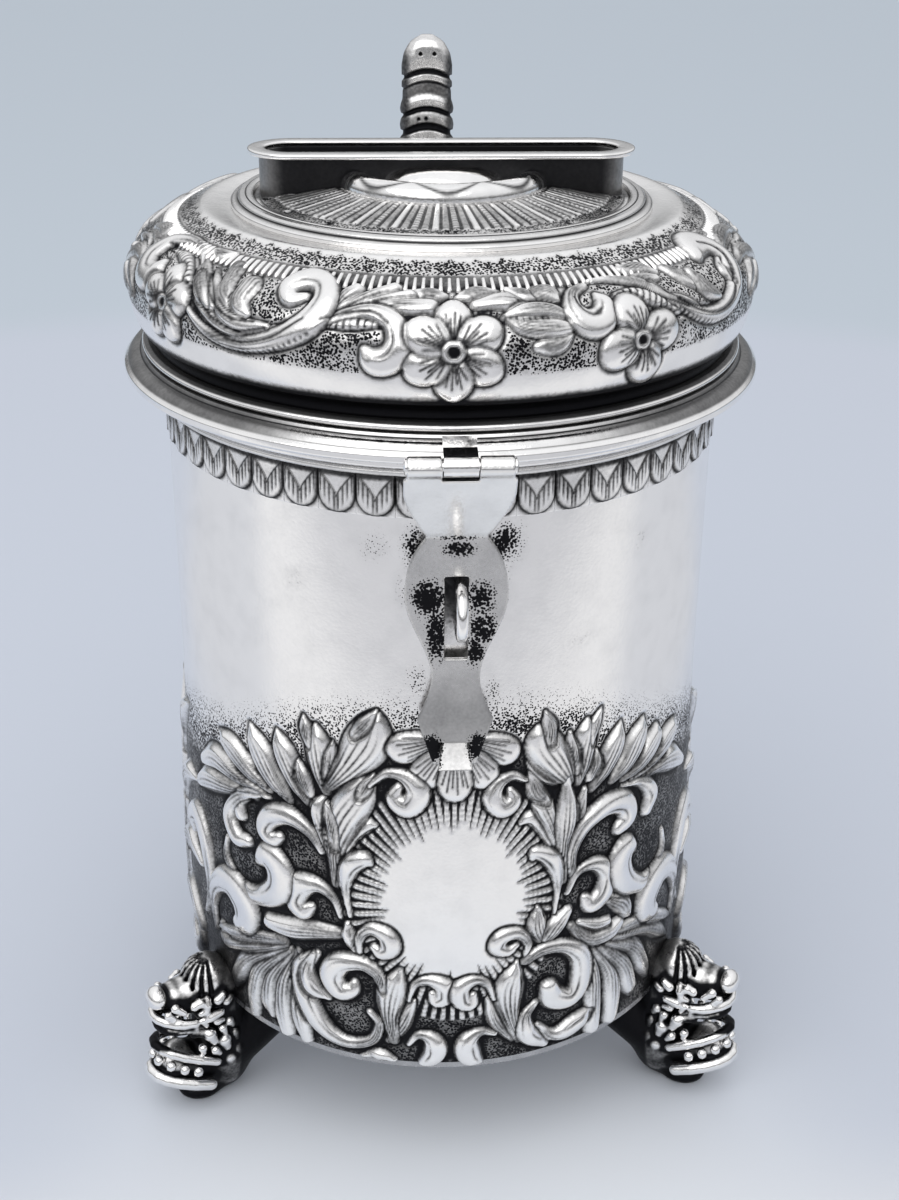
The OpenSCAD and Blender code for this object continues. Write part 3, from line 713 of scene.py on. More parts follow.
    def petal(self, hub: np.ndarray, reach: np.ndarray, sizes: Points, veins: Points, root: float,
              groove: float, pen: tuple[float, float]) -> None:
        """Raises a petal with engraved veins.

        Args:
            hub: Where it grows from, as u and v.
            reach: The way from there to its tip.
            sizes: Shares of the way, and half its width there.
            veins: How far each vein leans aside, and the share of the way where it ends.
            root: Share of the way where the veins start.
            groove: Width of the dark groove round it.
            pen: Half width and tone of the veins.
        """
        aside = np.array([-reach[1], reach[0]]) / np.hypot(*reach)
        self.lobe([(*(hub + reach * share), half) for share, half in sizes], Form.PETAL, 0.8, groove)
        for lean, far in veins:
            start, end = hub + reach * root + aside * lean * 0.3, hub + reach * far + aside * lean
            self.line([start, (start + end) / 2, end], pen[0], 0.1, pen[1])

    def flower(self, centre: tuple[float, float], length: float, half: float, turns: Sequence[float]) -> None:
        """Raises a flower with veined petals round a pierced eye.

        Args:
            centre: Its middle as u and v.
            length: Reach of a petal.
            half: Half a petal's width.
            turns: Direction of each petal in degrees.
        """
        hub, eye, nudge = np.array(centre), length * 0.24, np.array((0.1, 0.0))
        sizes = [(share, half * wide) for share, wide in ((0.22, 0.4), (0.5, 1.0), (0.72, 1.2), (0.9, 0.85))]
        leans = ((-0.8, 0.6), (-0.45, 0.72), (-0.1, 0.8), (0.2, 0.66), (0.5, 0.78), (0.8, 0.58))
        veins = [(half * lean, far) for lean, far in leans]
        for turn in np.radians(turns):
            reach = length * np.array([math.cos(turn), math.sin(turn)])
            self.petal(hub, reach, sizes, veins, 0.25, 0.75, (0.15, 0.96))
        self.lobe([(*(hub - nudge), eye), (*(hub + nudge), eye)], Form.PETAL, 0.9, 0.6)
        self.line([hub - nudge, hub, hub + nudge], eye * 0.55, 0.5, 1.0)

    def repeat_behind(self) -> None:
        """Copies the front half onto the back half."""
        back, behind = self.turned(self.around / 2), np.abs(self.u) > self.around / 4
        for layer in LAYERS:
            setattr(self, layer, np.where(behind, getattr(back, layer), getattr(self, layer)))

    def turned(self, distance: float) -> "Relief":
        """Gives a copy moved round the sheet by a distance.

        Args:
            distance: How far, toward the right.

        Returns:
            The copy.
        """
        moved, shift = Relief(self.around, self.rise, self.cell), round(distance / self.cell)
        for layer in LAYERS:
            setattr(moved, layer, np.roll(getattr(self, layer), shift, 1))
        return moved

    def settle(self, hollow: float = 1.0) -> None:
        """Softens the height by a cell and lets oxide gather in the hollows.

        Args:
            hollow: Share of oxide for each millimetre below the surroundings.
        """
        def blur(sheet: np.ndarray, cells: int) -> np.ndarray:
            """Averages over a square of cells, twice.

            Args:
                sheet: One layer.
                cells: Reach of the square each way.

            Returns:
                The softened layer.
            """
            for _ in range(2):
                ways = [np.roll(sheet, k, 1) for k in range(-cells, cells + 1)]
                sheet = sum(ways) / len(ways)
                tall = np.pad(sheet, ((cells, cells), (0, 0)), "edge")
                sheet = sum(tall[k:k + len(sheet)] for k in range(2 * cells + 1)) / (2 * cells + 1)
            return sheet

        low = np.clip(blur(self.height, 4) - self.height, 0.0, 1.0)
        ground = smooth(0.2, 0.5, self.dark) * (1.0 - self.form)
        self.dark = np.clip(self.dark + hollow * low + 0.5 * blur(self.form, 5) * ground, 0.0, 1.0)
        self.height = 0.55 * self.height + 0.45 * blur(self.height, 1)

    def read(self, layer: np.ndarray, u: np.ndarray, v: np.ndarray) -> np.ndarray:
        """Reads a layer between its cells.

        Args:
            layer: Height, dark or dots.
            u: Place round the sheet.
            v: Place up the sheet.

        Returns:
            The values there.
        """
        rows, cols = layer.shape
        fu, fv = u / self.cell, np.clip(v / self.cell, 0, rows - 1.001)
        c, r = np.floor(fu).astype(int), np.floor(fv).astype(int)
        a, b = fu - c, fv - r
        c, c1 = c % cols, (c + 1) % cols
        return ((layer[r, c] * (1 - a) + layer[r, c1] * a) * (1 - b)
                + (layer[r + 1, c] * (1 - a) + layer[r + 1, c1] * a) * b)


@dataclass(frozen=True)
class TurnedFace:
    """The surface that a relief stands on: an outline turned about the box's axis."""

    outline: np.ndarray
    gauge: float
    tucks: tuple[float, float] = (0.05, 0.004)

    def stations(self) -> np.ndarray:
        """Gives the length along the outline at each of its points."""
        return lengths(self.outline)

    def place(self, u: np.ndarray, v: np.ndarray, lift: np.ndarray) -> np.ndarray:
        """Puts sheet coordinates in space.

        Args:
            u: Length round the box at the gauge radius.
            v: Length up the outline.
            lift: Height above the surface, negative for below.

        Returns:
            Points, one row each.
        """
        s = self.stations()
        slope = np.gradient(self.outline, s, axis=0)
        r, z, dr, dz = (np.interp(v, s, k) for k in (*self.outline.T, *slope.T))
        size = np.hypot(dr, dz)
        r, z = r + lift * dz / size, z - lift * dr / size
        return polar(r, u / self.gauge, z)

    def panel(self, relief: Relief, span: tuple[float, float], pitch: float, rows: np.ndarray,
              back_rows: np.ndarray, thick: float) -> Shell:
        """Cuts one closed panel out of the chased sheet, with strips that tuck under its neighbours.

        Args:
            relief: The chased sheet.
            span: First and last u.
            pitch: Distance between columns.
            rows: The v of each row on the face.
            back_rows: The v of each row on the plain back.
            thick: Thickness of the sheet.

        Returns:
            The panel.
        """
        cols = np.linspace(*span, max(2, round((span[1] - span[0]) / pitch)) + 1)
        tuck = np.concatenate([self.tucks, np.zeros(len(cols)), self.tucks[::-1]])
        beyond = pitch * np.array([1.0, 2.0])
        cols = np.concatenate([span[0] - beyond[::-1], cols, span[1] + beyond])
        u, v = np.meshgrid(cols, rows)
        face = self.place(u, v, relief.read(relief.height, u, v) - tuck).reshape(-1, 3)
        bu, bv = np.meshgrid(cols, back_rows)
        back = self.place(bu, bv, np.full(bu.shape, -thick)).reshape(-1, 3)
        n = len(cols)
        o = np.arange(len(face)).reshape(-1, n)
        i = np.arange(len(back)).reshape(-1, n) + len(face)
        strips = [np.stack([i[:-1, :-1], i[1:, :-1], i[1:, 1:], i[:-1, 1:]], -1).reshape(-1, 4),
                  np.stack([o[0, 1:], o[0, :-1], i[0, :-1], i[0, 1:]], -1),
                  np.stack([o[-1, :-1], o[-1, 1:], i[-1, 1:], i[-1, :-1]], -1)]
        caps = [*np.vstack(strips), np.concatenate([o[:, 0], i[::-1, 0]]),
                np.concatenate([o[::-1, -1], i[:, -1]])]
        wear = [np.concatenate([relief.read(layer, u, v).ravel(), np.zeros(len(back))])
                for layer in (relief.dark, relief.dots)]
        return Shell(np.vstack([face, back]), grid_quads(len(rows), n), caps, *wear)


@dataclass
class Clay:
    """A cast solid modelled as a field on a grid, negative inside, and skinned with quads."""

    low: tuple[float, float, float]
    high: tuple[float, float, float]
    step: float = 0.3

    def __post_init__(self) -> None:
        """Starts from an empty grid."""
        axes = [np.arange(a, b + self.step, self.step, dtype=np.float32) for a, b in zip(self.low, self.high)]
        self.x, self.y, self.z = np.meshgrid(*axes, indexing="ij", sparse=True)
        self.field = np.full([len(a) for a in axes], 9.0, np.float32)
        self.stain = np.zeros_like(self.field)

    def rod(self, start: Sequence[float], end: Sequence[float], first: float,
            last: float | None = None) -> np.ndarray:
        """Measures to a round-ended rod.

        Args:
            start: Middle of its first end.
            end: Middle of its last end.
            first: Radius at the first end.
            last: Radius at the last end, or the same.

        Returns:
            The distance field.
        """
        a, way = np.array(start, np.float32), np.array(end, np.float32) - np.array(start, np.float32)
        px, py, pz = self.x - a[0], self.y - a[1], self.z - a[2]
        t = np.clip((px * way[0] + py * way[1] + pz * way[2]) / max(float(way @ way), 1e-6), 0, 1)
        gap = np.sqrt((px - way[0] * t) ** 2 + (py - way[1] * t) ** 2 + (pz - way[2] * t) ** 2)
        return gap - (first + ((first if last is None else last) - first) * t)

    def ball(self, centre: Sequence[float], size: Sequence[float]) -> np.ndarray:
        """Measures to an egg with three half sizes."""
        parts = [(p - c) / s for p, c, s in zip((self.x, self.y, self.z), centre, size)]
        return (np.sqrt(sum(p * p for p in parts)) - 1.0) * min(size)

    def add(self, gap: np.ndarray, blend: float = 0.0) -> None:
        """Joins a shape, with a soft hollow of that width between.

        Args:
            gap: The shape's distance field.
            blend: Width of the hollow.
        """
        near = np.minimum(self.field, gap)
        if blend:
            near = near - np.maximum(blend - np.abs(self.field - gap), 0) ** 2 / (4 * blend)
        self.field = near

    def cut(self, gap: np.ndarray, blend: float = 0.0, stain: float = 0.0) -> None:
        """Takes a shape away, with an eased edge of that width, and stains the cut.

        Args:
            gap: The shape's distance field.
            blend: Width of the eased edge.
            stain: Oxide on the cut.
        """
        far = np.maximum(self.field, -gap)
        if blend:
            far = far + np.maximum(blend - np.abs(self.field + gap), 0) ** 2 / (4 * blend)
        self.field = far
        if stain:
            self.stain = np.maximum(self.stain, stain * (gap < 0.15))

    def shell(self, worn: float = 0.5, gather: float = 0.1, reach: int = 4) -> Shell:
        """Skins the solid.

        Args:
            worn: Share of metal round a place up to which it is rubbed bright; 0.5 on a flat.
            gather: How much more metal round it turns it black.
            reach: Cells looked at round a place to tell a hollow from a swell.

        Returns:
            The skin, with oxide in the hollows.
        """
        f, solid = self.field, self.field < 0
        cells = tuple(n - 1 for n in f.shape)
        total, count = np.zeros((*cells, 3), np.float32), np.zeros(cells, np.float32)
        for axis in range(3):
            for shift in np.ndindex(2, 2):
                near, far = list(np.insert(shift, axis, 0)), list(np.insert(shift, axis, 1))
                a, b = (f[tuple(slice(k, k + n) for k, n in zip(at, cells))] for at in (near, far))
                crossed = (a < 0) != (b < 0)
                share = np.where(crossed, a / np.where(crossed, a - b, 1.0), 0.0)
                for k in range(3):
                    total[..., k] += np.where(crossed, share if k == axis else near[k], 0.0)
                count += crossed
        mixed = count > 0
        at = np.argwhere(mixed)
        inner_place = total[mixed] / count[mixed][:, None]
        points = np.array(self.low) + self.step * (at + inner_place)
        ids = np.full(cells, -1)
        ids[mixed] = np.arange(len(at))
        quads = []
        for axis in range(3):
            first, second = (axis + 1) % 3, (axis + 2) % 3
            inner = [slice(1, -1)] * 3
            inner[axis] = slice(None, -1)
            outer = list(inner)
            outer[axis] = slice(1, None)
            here, there = solid[tuple(inner)], solid[tuple(outer)]
            edge = np.argwhere(here != there)
            leaving = here[tuple(edge.T)]
            corners = []
            for step_a, step_b in ((0, 0), (1, 0), (1, 1), (0, 1)):
                spot = edge.copy()
                spot[:, first] += step_a
                spot[:, second] += step_b
                corners.append(ids[tuple(spot.T)])
            ring = np.stack(corners, 1)
            quads.append(np.where(leaving[:, None], ring, ring[:, ::-1]))
        fill = np.clip(0.5 - f / (2.0 * self.step), 0.0, 1.0)
        for axis in range(3):
            fill = sum(np.roll(fill, k, axis) for k in range(-reach, reach + 1)) / (2 * reach + 1)
        level, stain = np.zeros(len(at)), np.zeros(len(at))
        for corner in np.ndindex(2, 2, 2):
            share = np.prod(np.where(corner, inner_place, 1.0 - inner_place), axis=1)
            level += share * fill[tuple((at + corner).T)]
            stain += share * self.stain[tuple((at + corner).T)]
        return Shell(points, np.vstack(quads), [], np.maximum(smooth(worn, worn + gather, level), stain))


# Strokes of the chasing: u, v and half width along each
LEFT_BLADES: tuple[Points, ...] = (
    ((-31, 45, .5), (-38, 46.3, 1.3), (-43, 46.8, 2.0), (-46.5, 45, 1.4)),
    ((-33, 44, .5), (-40, 43, 1.2), (-46, 41.5, 1.8), (-50, 39, .8)),
    ((-30, 46.5, .5), (-35, 49, 1.6), (-38.5, 51, 1.8), (-42, 52.3, .2)),
    ((-26, 46, .5), (-29.5, 49.5, 1.7), (-31.8, 53, 2.0), (-34, 57, .1)),
    ((-22.5, 46.5, .5), (-25, 50.5, 1.6), (-27, 54.5, 1.7), (-28.4, 57.9, .1)),
    ((-22, 48, .4), (-23.5, 51, 1.0), (-24.4, 53.8, .1)),
    ((-19.6, 49.5, .6), (-20.4, 54, 1.7), (-20.9, 57.5, 1.7), (-21.2, 60.6, .3)),
    ((-22.5, 57, .5), (-22.9, 59.5, .9), (-23.3, 61.8, .1)),
    ((-19.4, 52, .4), (-18.7, 55.5, .8), (-18.4, 58.5, .1)),
    ((-19, 50.5, .7), (-15.5, 55, 2.0), (-13, 59, 2.9), (-12, 62, 1.9), (-11.4, 64.8, .1)),
    ((-14.8, 60.5, .6), (-13.3, 62.3, .9), (-11.5, 64.8, .1)),
    ((-18.3, 36, .5), (-20, 42, 1.0), (-20.8, 46, 1.3), (-20.2, 48, .5)),
    ((-17.6, 37, .5), (-15.8, 42, .9), (-13.8, 44.8, 1.2), (-11.6, 45.2, .2)),
    ((-18, 33.5, .7), (-18.2, 40, 1.3), (-17, 45, 2.3), (-14.5, 49.5, 2.2), (-12.2, 53.8, .1)),
    ((-14, 50, .5), (-13.2, 51.5, .8), (-12, 53.9, .1)),
    ((-18, 40, .5), (-18.8, 44.5, .9), (-19.6, 47.8, .1)),
    ((-25, 18.5, .6), (-25.4, 12, 1.2), (-25.2, 7, 1.6), (-24, 1.5, 1.0)),
    ((-25.8, 18, .6), (-28, 12, 1.4), (-28.6, 7, 1.7), (-27.8, 1.5, 1.3)),
    ((-26.5, 18, .6), (-30.5, 12, 1.3), (-31.5, 7, 1.5), (-31, 3, .5)),
    ((-27, 18.3, .6), (-32.5, 12.5, 1.2), (-34.5, 7, 1.4), (-35, 1.5, 1.0)),
    ((-27.5, 18.6, .5), (-35, 13, 1.1), (-38.5, 8, 1.3), (-40, 4, .3)),
    ((-27.5, 19.2, .6), (-33, 16.6, 1.2), (-38, 14, 1.2), (-41.5, 12.5, 1.0), (-43, 14.5, .9)),
    ((-28, 19.6, .6), (-34, 17.6, .9), (-39, 15.5, .9), (-44, 14, .3)),
    ((-17.2, 24.4, .8), (-21, 23.9, 1.3), (-26, 22.6, 1.6), (-30.2, 22.2, 1.3)),
    ((-9.6, 5, .6), (-7.6, 9, 1.2), (-5.8, 13.4, .3)),
    ((-8.9, 5, .6), (-9.6, 10, 1.2), (-9.2, 15, 1.9), (-7.9, 19.4, .3)),
)
LEFT_SCROLLS: tuple[Points, ...] = (
    ((-30, 45, .3), (-34, 44.5, .8), (-37, 42, 1.0), (-36.5, 39.5, .9)),
    ((-32, 44.6, .4), (-37, 42.5, .9), (-39.5, 38.5, 1.1), (-37.5, 35, 1.2), (-35, 35.2, .8)),
    ((-20.5, 38.5, .6), (-22.5, 41.6, 1.3), (-26, 43.4, 1.6), (-29.5, 42.2, 1.5), (-31, 39.6, 1.3),
     (-29.6, 38, 1.1), (-28.2, 38.8, .7)),
    ((-15.8, 28, .5), (-16.6, 33, .8), (-15.8, 37, 1.2), (-13.8, 38.9, 1.1), (-12.6, 38.3, .4)),
    ((-12.5, 52, .4), (-10, 54.3, .9), (-7, 54, 1.2), (-5.2, 51.5, 1.5), (-6.8, 49, 1.4),
     (-8.8, 50.2, 1.0), (-8.2, 52.2, .5)),
    ((-17.4, 27.5, .5), (-18.6, 30.6, .9), (-21.3, 32.4, 1.3), (-24.3, 31.3, 1.8), (-25.4, 28.6, 1.6),
     (-23.8, 26.9, 1.2), (-22.4, 28, .6)),
    ((-40.5, 33.5, .5), (-40.8, 29.5, 1.1), (-37, 26.2, 1.3), (-32, 26.3, 1.6), (-28.6, 29, 1.9),
     (-28.2, 32.5, 2.0), (-30.2, 34.6, 1.8), (-32.3, 33, .8)),
    ((-14.8, 21.3, .6), (-15.8, 23.5, 1.0), (-16.3, 26.6, .3)),
    ((-14.3, 21.5, .5), (-14.2, 24.5, .9), (-12.3, 26.4, 1.1), (-10, 25.6, 1.2), (-9.4, 23.3, 1.2),
     (-10.8, 22.2, .9), (-12, 23, .5)),
    ((-10.7, 15.3, .8), (-11.5, 18, 1.4), (-14, 19.6, 1.5), (-17.3, 19, 1.7), (-19, 16.2, 1.6),
     (-17.6, 13.6, 1.4), (-15.6, 14.2, 1.0), (-15.2, 15.6, .5)),
    ((-6.6, 13.4, .4), (-5.6, 16.6, .8), (-3.4, 17.6, 1.0), (-1.2, 16.6, 1.2), (-1, 14.4, 1.1),
     (-2.4, 13.4, .7), (-3, 15, .4)),
    ((-6.6, 4.6, .5), (-5, 6.6, .9), (-3, 6, 1.2), (-2.4, 3.4, 1.4), (-4, 1, .9)),
    ((-12.8, 10.3, .7), (-11.3, 8, .9), (-12.6, 4.6, 1.2), (-17, 3.4, 1.3), (-21.3, 6, 1.6),
     (-23.8, 11, 1.5), (-24, 16, 1.3), (-21.5, 19.4, .5)),
    ((-22, 19.3, .5), (-23.2, 16, 1.1), (-22.4, 12.8, 1.2), (-19.6, 11.2, .3)),
    ((-45.2, 13, .8), (-45.6, 18.5, 1.5), (-43.4, 23.2, 1.9), (-39.6, 25, 2.2), (-36.2, 22.8, 2.4),
     (-36, 19.6, 1.9), (-38, 18.4, .9)),
    ((-14.5, .9, .3), (-11.5, 1.9, .9), (-9, 1.1, .4)),
)
RIGHT_BLADES: tuple[Points, ...] = (
    ((32, 45.8, .5), (38, 46.2, 1.3), (43, 45, 1.9), (46.5, 43, 1.2)),
    ((31, 46.8, .5), (37, 48.6, 1.4), (41, 50.2, 1.8), (43.5, 52, .3)),
    ((29, 47.5, .5), (33.5, 49.5, 1.6), (36.2, 51.5, 1.8), (37, 53.3, .8)),
    ((26.5, 48, .5), (29.8, 50.8, 1.6), (31.8, 53.6, 1.9), (33.5, 57, .1)),
    ((22.5, 48, .5), (25, 51.5, 1.5), (26.8, 54.5, 1.7), (28.1, 58.2, .1)),
    ((22, 50, .5), (22.9, 52.5, 1.1), (23.3, 54.8, .1)),
    ((20, 50, .5), (20.6, 54.5, 1.6), (21.2, 58, 1.6), (21.3, 60.6, .3)),
    ((22.2, 56.5, .4), (22.8, 59.5, .8), (23.9, 61.9, .1)),
    ((19.4, 52, .4), (18.6, 55.5, 1.1), (18.2, 59.3, .2)),
    ((17, 51, .5), (14, 53.2, 1.4), (12, 55.8, .8)),
    ((18.5, 50.5, .6), (16, 54.5, 2.1), (13.8, 58, 2.4), (12.9, 61, .6)),
    ((14.8, 58.5, .6), (14.7, 61, 1.0), (13.9, 63.8, .1)),
    ((16.8, 37, .4), (15, 42, .9), (12.5, 45.8, 1.1), (10.4, 45.2, .3)),
    ((18.4, 40, .5), (20, 44, 1.1), (21.3, 48.5, .4)),
    ((17.4, 38, .5), (15.4, 44, 1.1), (13.8, 48, 1.4), (13.2, 50.5, .6)),
    ((14.4, 48.5, .6), (12.6, 50.5, 1.2), (11.6, 53.8, .1)),
    ((17.7, 33, .6), (17.6, 40, 1.0), (18, 45, 1.7), (18, 51.5, .2)),
    ((23, 18, .6), (24, 13, 1.2), (24.3, 8, 1.4), (24.5, 2, 1.4)),
    ((24, 18.3, .6), (27.5, 13, 1.3), (28.6, 8, 1.6), (28.5, 2, 1.3)),
    ((25, 18.5, .6), (30.5, 12, 1.3), (32.5, 7, 1.5), (33.5, 4, .5)),
    ((26, 18.8, .6), (33, 14, 1.2), (36, 9, 1.3), (38, 5, .5)),
    ((27, 19, .6), (36, 16, 1.1), (41, 12.5, 1.2), (45, 9, .3)),
    ((28, 19.6, .6), (36, 18, .9), (42, 15, .9), (47, 12, .3)),
    ((14.5, 22.6, .6), (13.4, 26, 1.4), (13.4, 29.5, .2)),
    ((15, 22.6, .6), (16.5, 25, 1.4), (18.6, 27.2, .8)),
    ((19.5, 24, .6), (22.5, 20.6, 1.2), (27, 20, 1.4), (30.5, 21.6, .6)),
    ((21, 24.2, .4), (24, 22.6, .8), (26.5, 22.2, .8)),
    ((27, 26.3, .8), (29.5, 24.6, 1.6), (31, 21.8, .9)),
    ((10, 4.5, .5), (7.2, 9, 1.2), (5.7, 13.5, .3)),
    ((11, 4, .5), (9.3, 10, 1.3), (9, 15, 2.0), (10.3, 19.8, .3)),
)
RIGHT_SCROLLS: tuple[Points, ...] = (
    ((29, 46.2, .3), (33.5, 45, .8), (36, 42.3, 1.2), (35, 39.4, .9)),
    ((19.5, 33, .8), (19.3, 38, 1.2), (21.5, 42.3, 1.4), (25.5, 44.2, 1.5), (29.2, 43.2, 1.6),
     (30.2, 40.6, 1.5), (28.2, 38.9, .9)),
    ((16.3, 27.5, .4), (16.8, 33, .8), (15.6, 37.5, 1.1), (13, 39.6, .8), (12.4, 38.6, .4)),
    ((11, 52.5, .4), (9, 53.6, .9), (6.8, 52.6, 1.1), (5.9, 50.3, 1.3), (7.4, 48.4, 1.3),
     (9.2, 49.4, .9), (8.6, 51.2, .4)),
    ((18.5, 30.5, .5), (20.5, 33.8, .9), (23.8, 34.2, 1.3), (26, 31.6, 1.4), (25.4, 28.4, 1.5),
     (23, 27, 1.2), (21.8, 28.6, .6)),
    ((40.5, 33, .5), (41, 29.5, 1.0), (38.5, 26.6, 1.3), (34, 26, 1.4), (30.2, 28.4, 1.8),
     (28.8, 32, 2.0), (30, 34.8, 1.6), (31.8, 33.6, .7)),
    ((11.6, 20.6, .5), (12, 23, .9), (10.2, 25.3, 1.1), (7.8, 25.2, 1.1), (6.9, 23.3, 1.0),
     (8.6, 22.2, .7), (10, 23, .4)),
    ((11.5, 19.5, .9), (14.5, 21.2, 1.5), (18.5, 20.6, 1.6), (21.3, 17.5, 1.7), (21.3, 12.5, 1.5),
     (19.5, 10.2, 1.4), (16.6, 11.2, 1.6), (15.6, 13.6, 1.2)),
    ((6.6, 13.2, .4), (5.6, 16.3, .8), (3.4, 17.4, 1.0), (1.3, 16, 1.2), (1.6, 13.4, 1.1),
     (3, 12.8, .8), (3.4, 14.6, .4)),
    ((7, 6.2, .5), (4.6, 7, 1.0), (2.6, 5.4, 1.4), (2.8, 2.6, 1.5), (4.2, .8, .8)),
    ((13.5, 11, .8), (11.8, 8.6, 1.2), (12.4, 5, 1.3), (15.2, 2.6, .8)),
    ((14, 6.5, .5), (17, 3.5, 1.2), (21, 4.5, 1.4), (23.5, 6, .4)),
    ((46, 13, .8), (46.6, 18.5, 1.5), (44, 23.5, 1.9), (40, 25, 2.2), (36.6, 22.6, 2.3),
     (36.4, 19.6, 1.8), (38.6, 18.6, .9)),
)
BEAD_STEMS: tuple[Points, ...] = (
    ((-19, 36), (-20, 42), (-24, 45.5), (-30, 47), (-38, 46)),
    ((30.5, 46.8), (36, 45.6), (40.5, 42), (42.8, 38.5)),
)
SIDE_BLADES: tuple[Points, ...] = (
    ((0, 3, .8), (0, 14, 2.2), (0, 28, 3.0), (0, 40, 2.2), (0, 52, .2)),
    ((1.5, 8, .6), (6, 12, 1.6), (11, 12.5, 2.0), (16, 9, 1.2)),
    ((2, 16, .6), (6.5, 22, 1.7), (12, 24.5, 1.9), (17, 22.5, .8)),
    ((2.5, 27, .6), (6, 33, 1.6), (10.5, 37, 1.9), (15.5, 38, .4)),
    ((2, 36, .5), (4.5, 43, 1.5), (7.5, 47.5, 1.7), (11, 50, .2)),
)
SIDE_SCROLLS: tuple[Points, ...] = (
    ((3, 3, .6), (8, 4.5, 1.2), (13, 3.2, 1.5), (15.5, 5.5, 1.2), (13.8, 7.2, .7)),
    ((18.5, 14, .7), (20.5, 20, 1.4), (20, 27, 1.7), (16.5, 31.5, 1.9), (13, 30, 1.6), (13.4, 27.4, .8)),
)

# Soft stains on the wall, those round the hasp also painted shade under it: u, v, half width, half height and
# strength
WALL_STAINS_AND_SHADE: tuple[tuple[float, float, float, float, float], ...] = (
    (-5.9, 91.5, 1.8, 3.2, 1.0), (6.9, 92.0, 2.8, 3.2, 1.05), (6.6, 85.0, 1.4, 5.0, 0.6),
    (-11.5, 91.0, 3.0, 3.0, 0.4), (-7.6, 84.0, 1.2, 3.6, 0.4), (-5.4, 70.5, 1.8, 2.6, 0.7),
    (5.6, 68.5, 1.6, 2.4, 0.6), (-24.0, 84.0, 2.0, 1.2, 0.4), (19.0, 75.0, 2.6, 1.0, 0.4),
    (30.0, 88.0, 1.6, 2.2, 0.4),
)


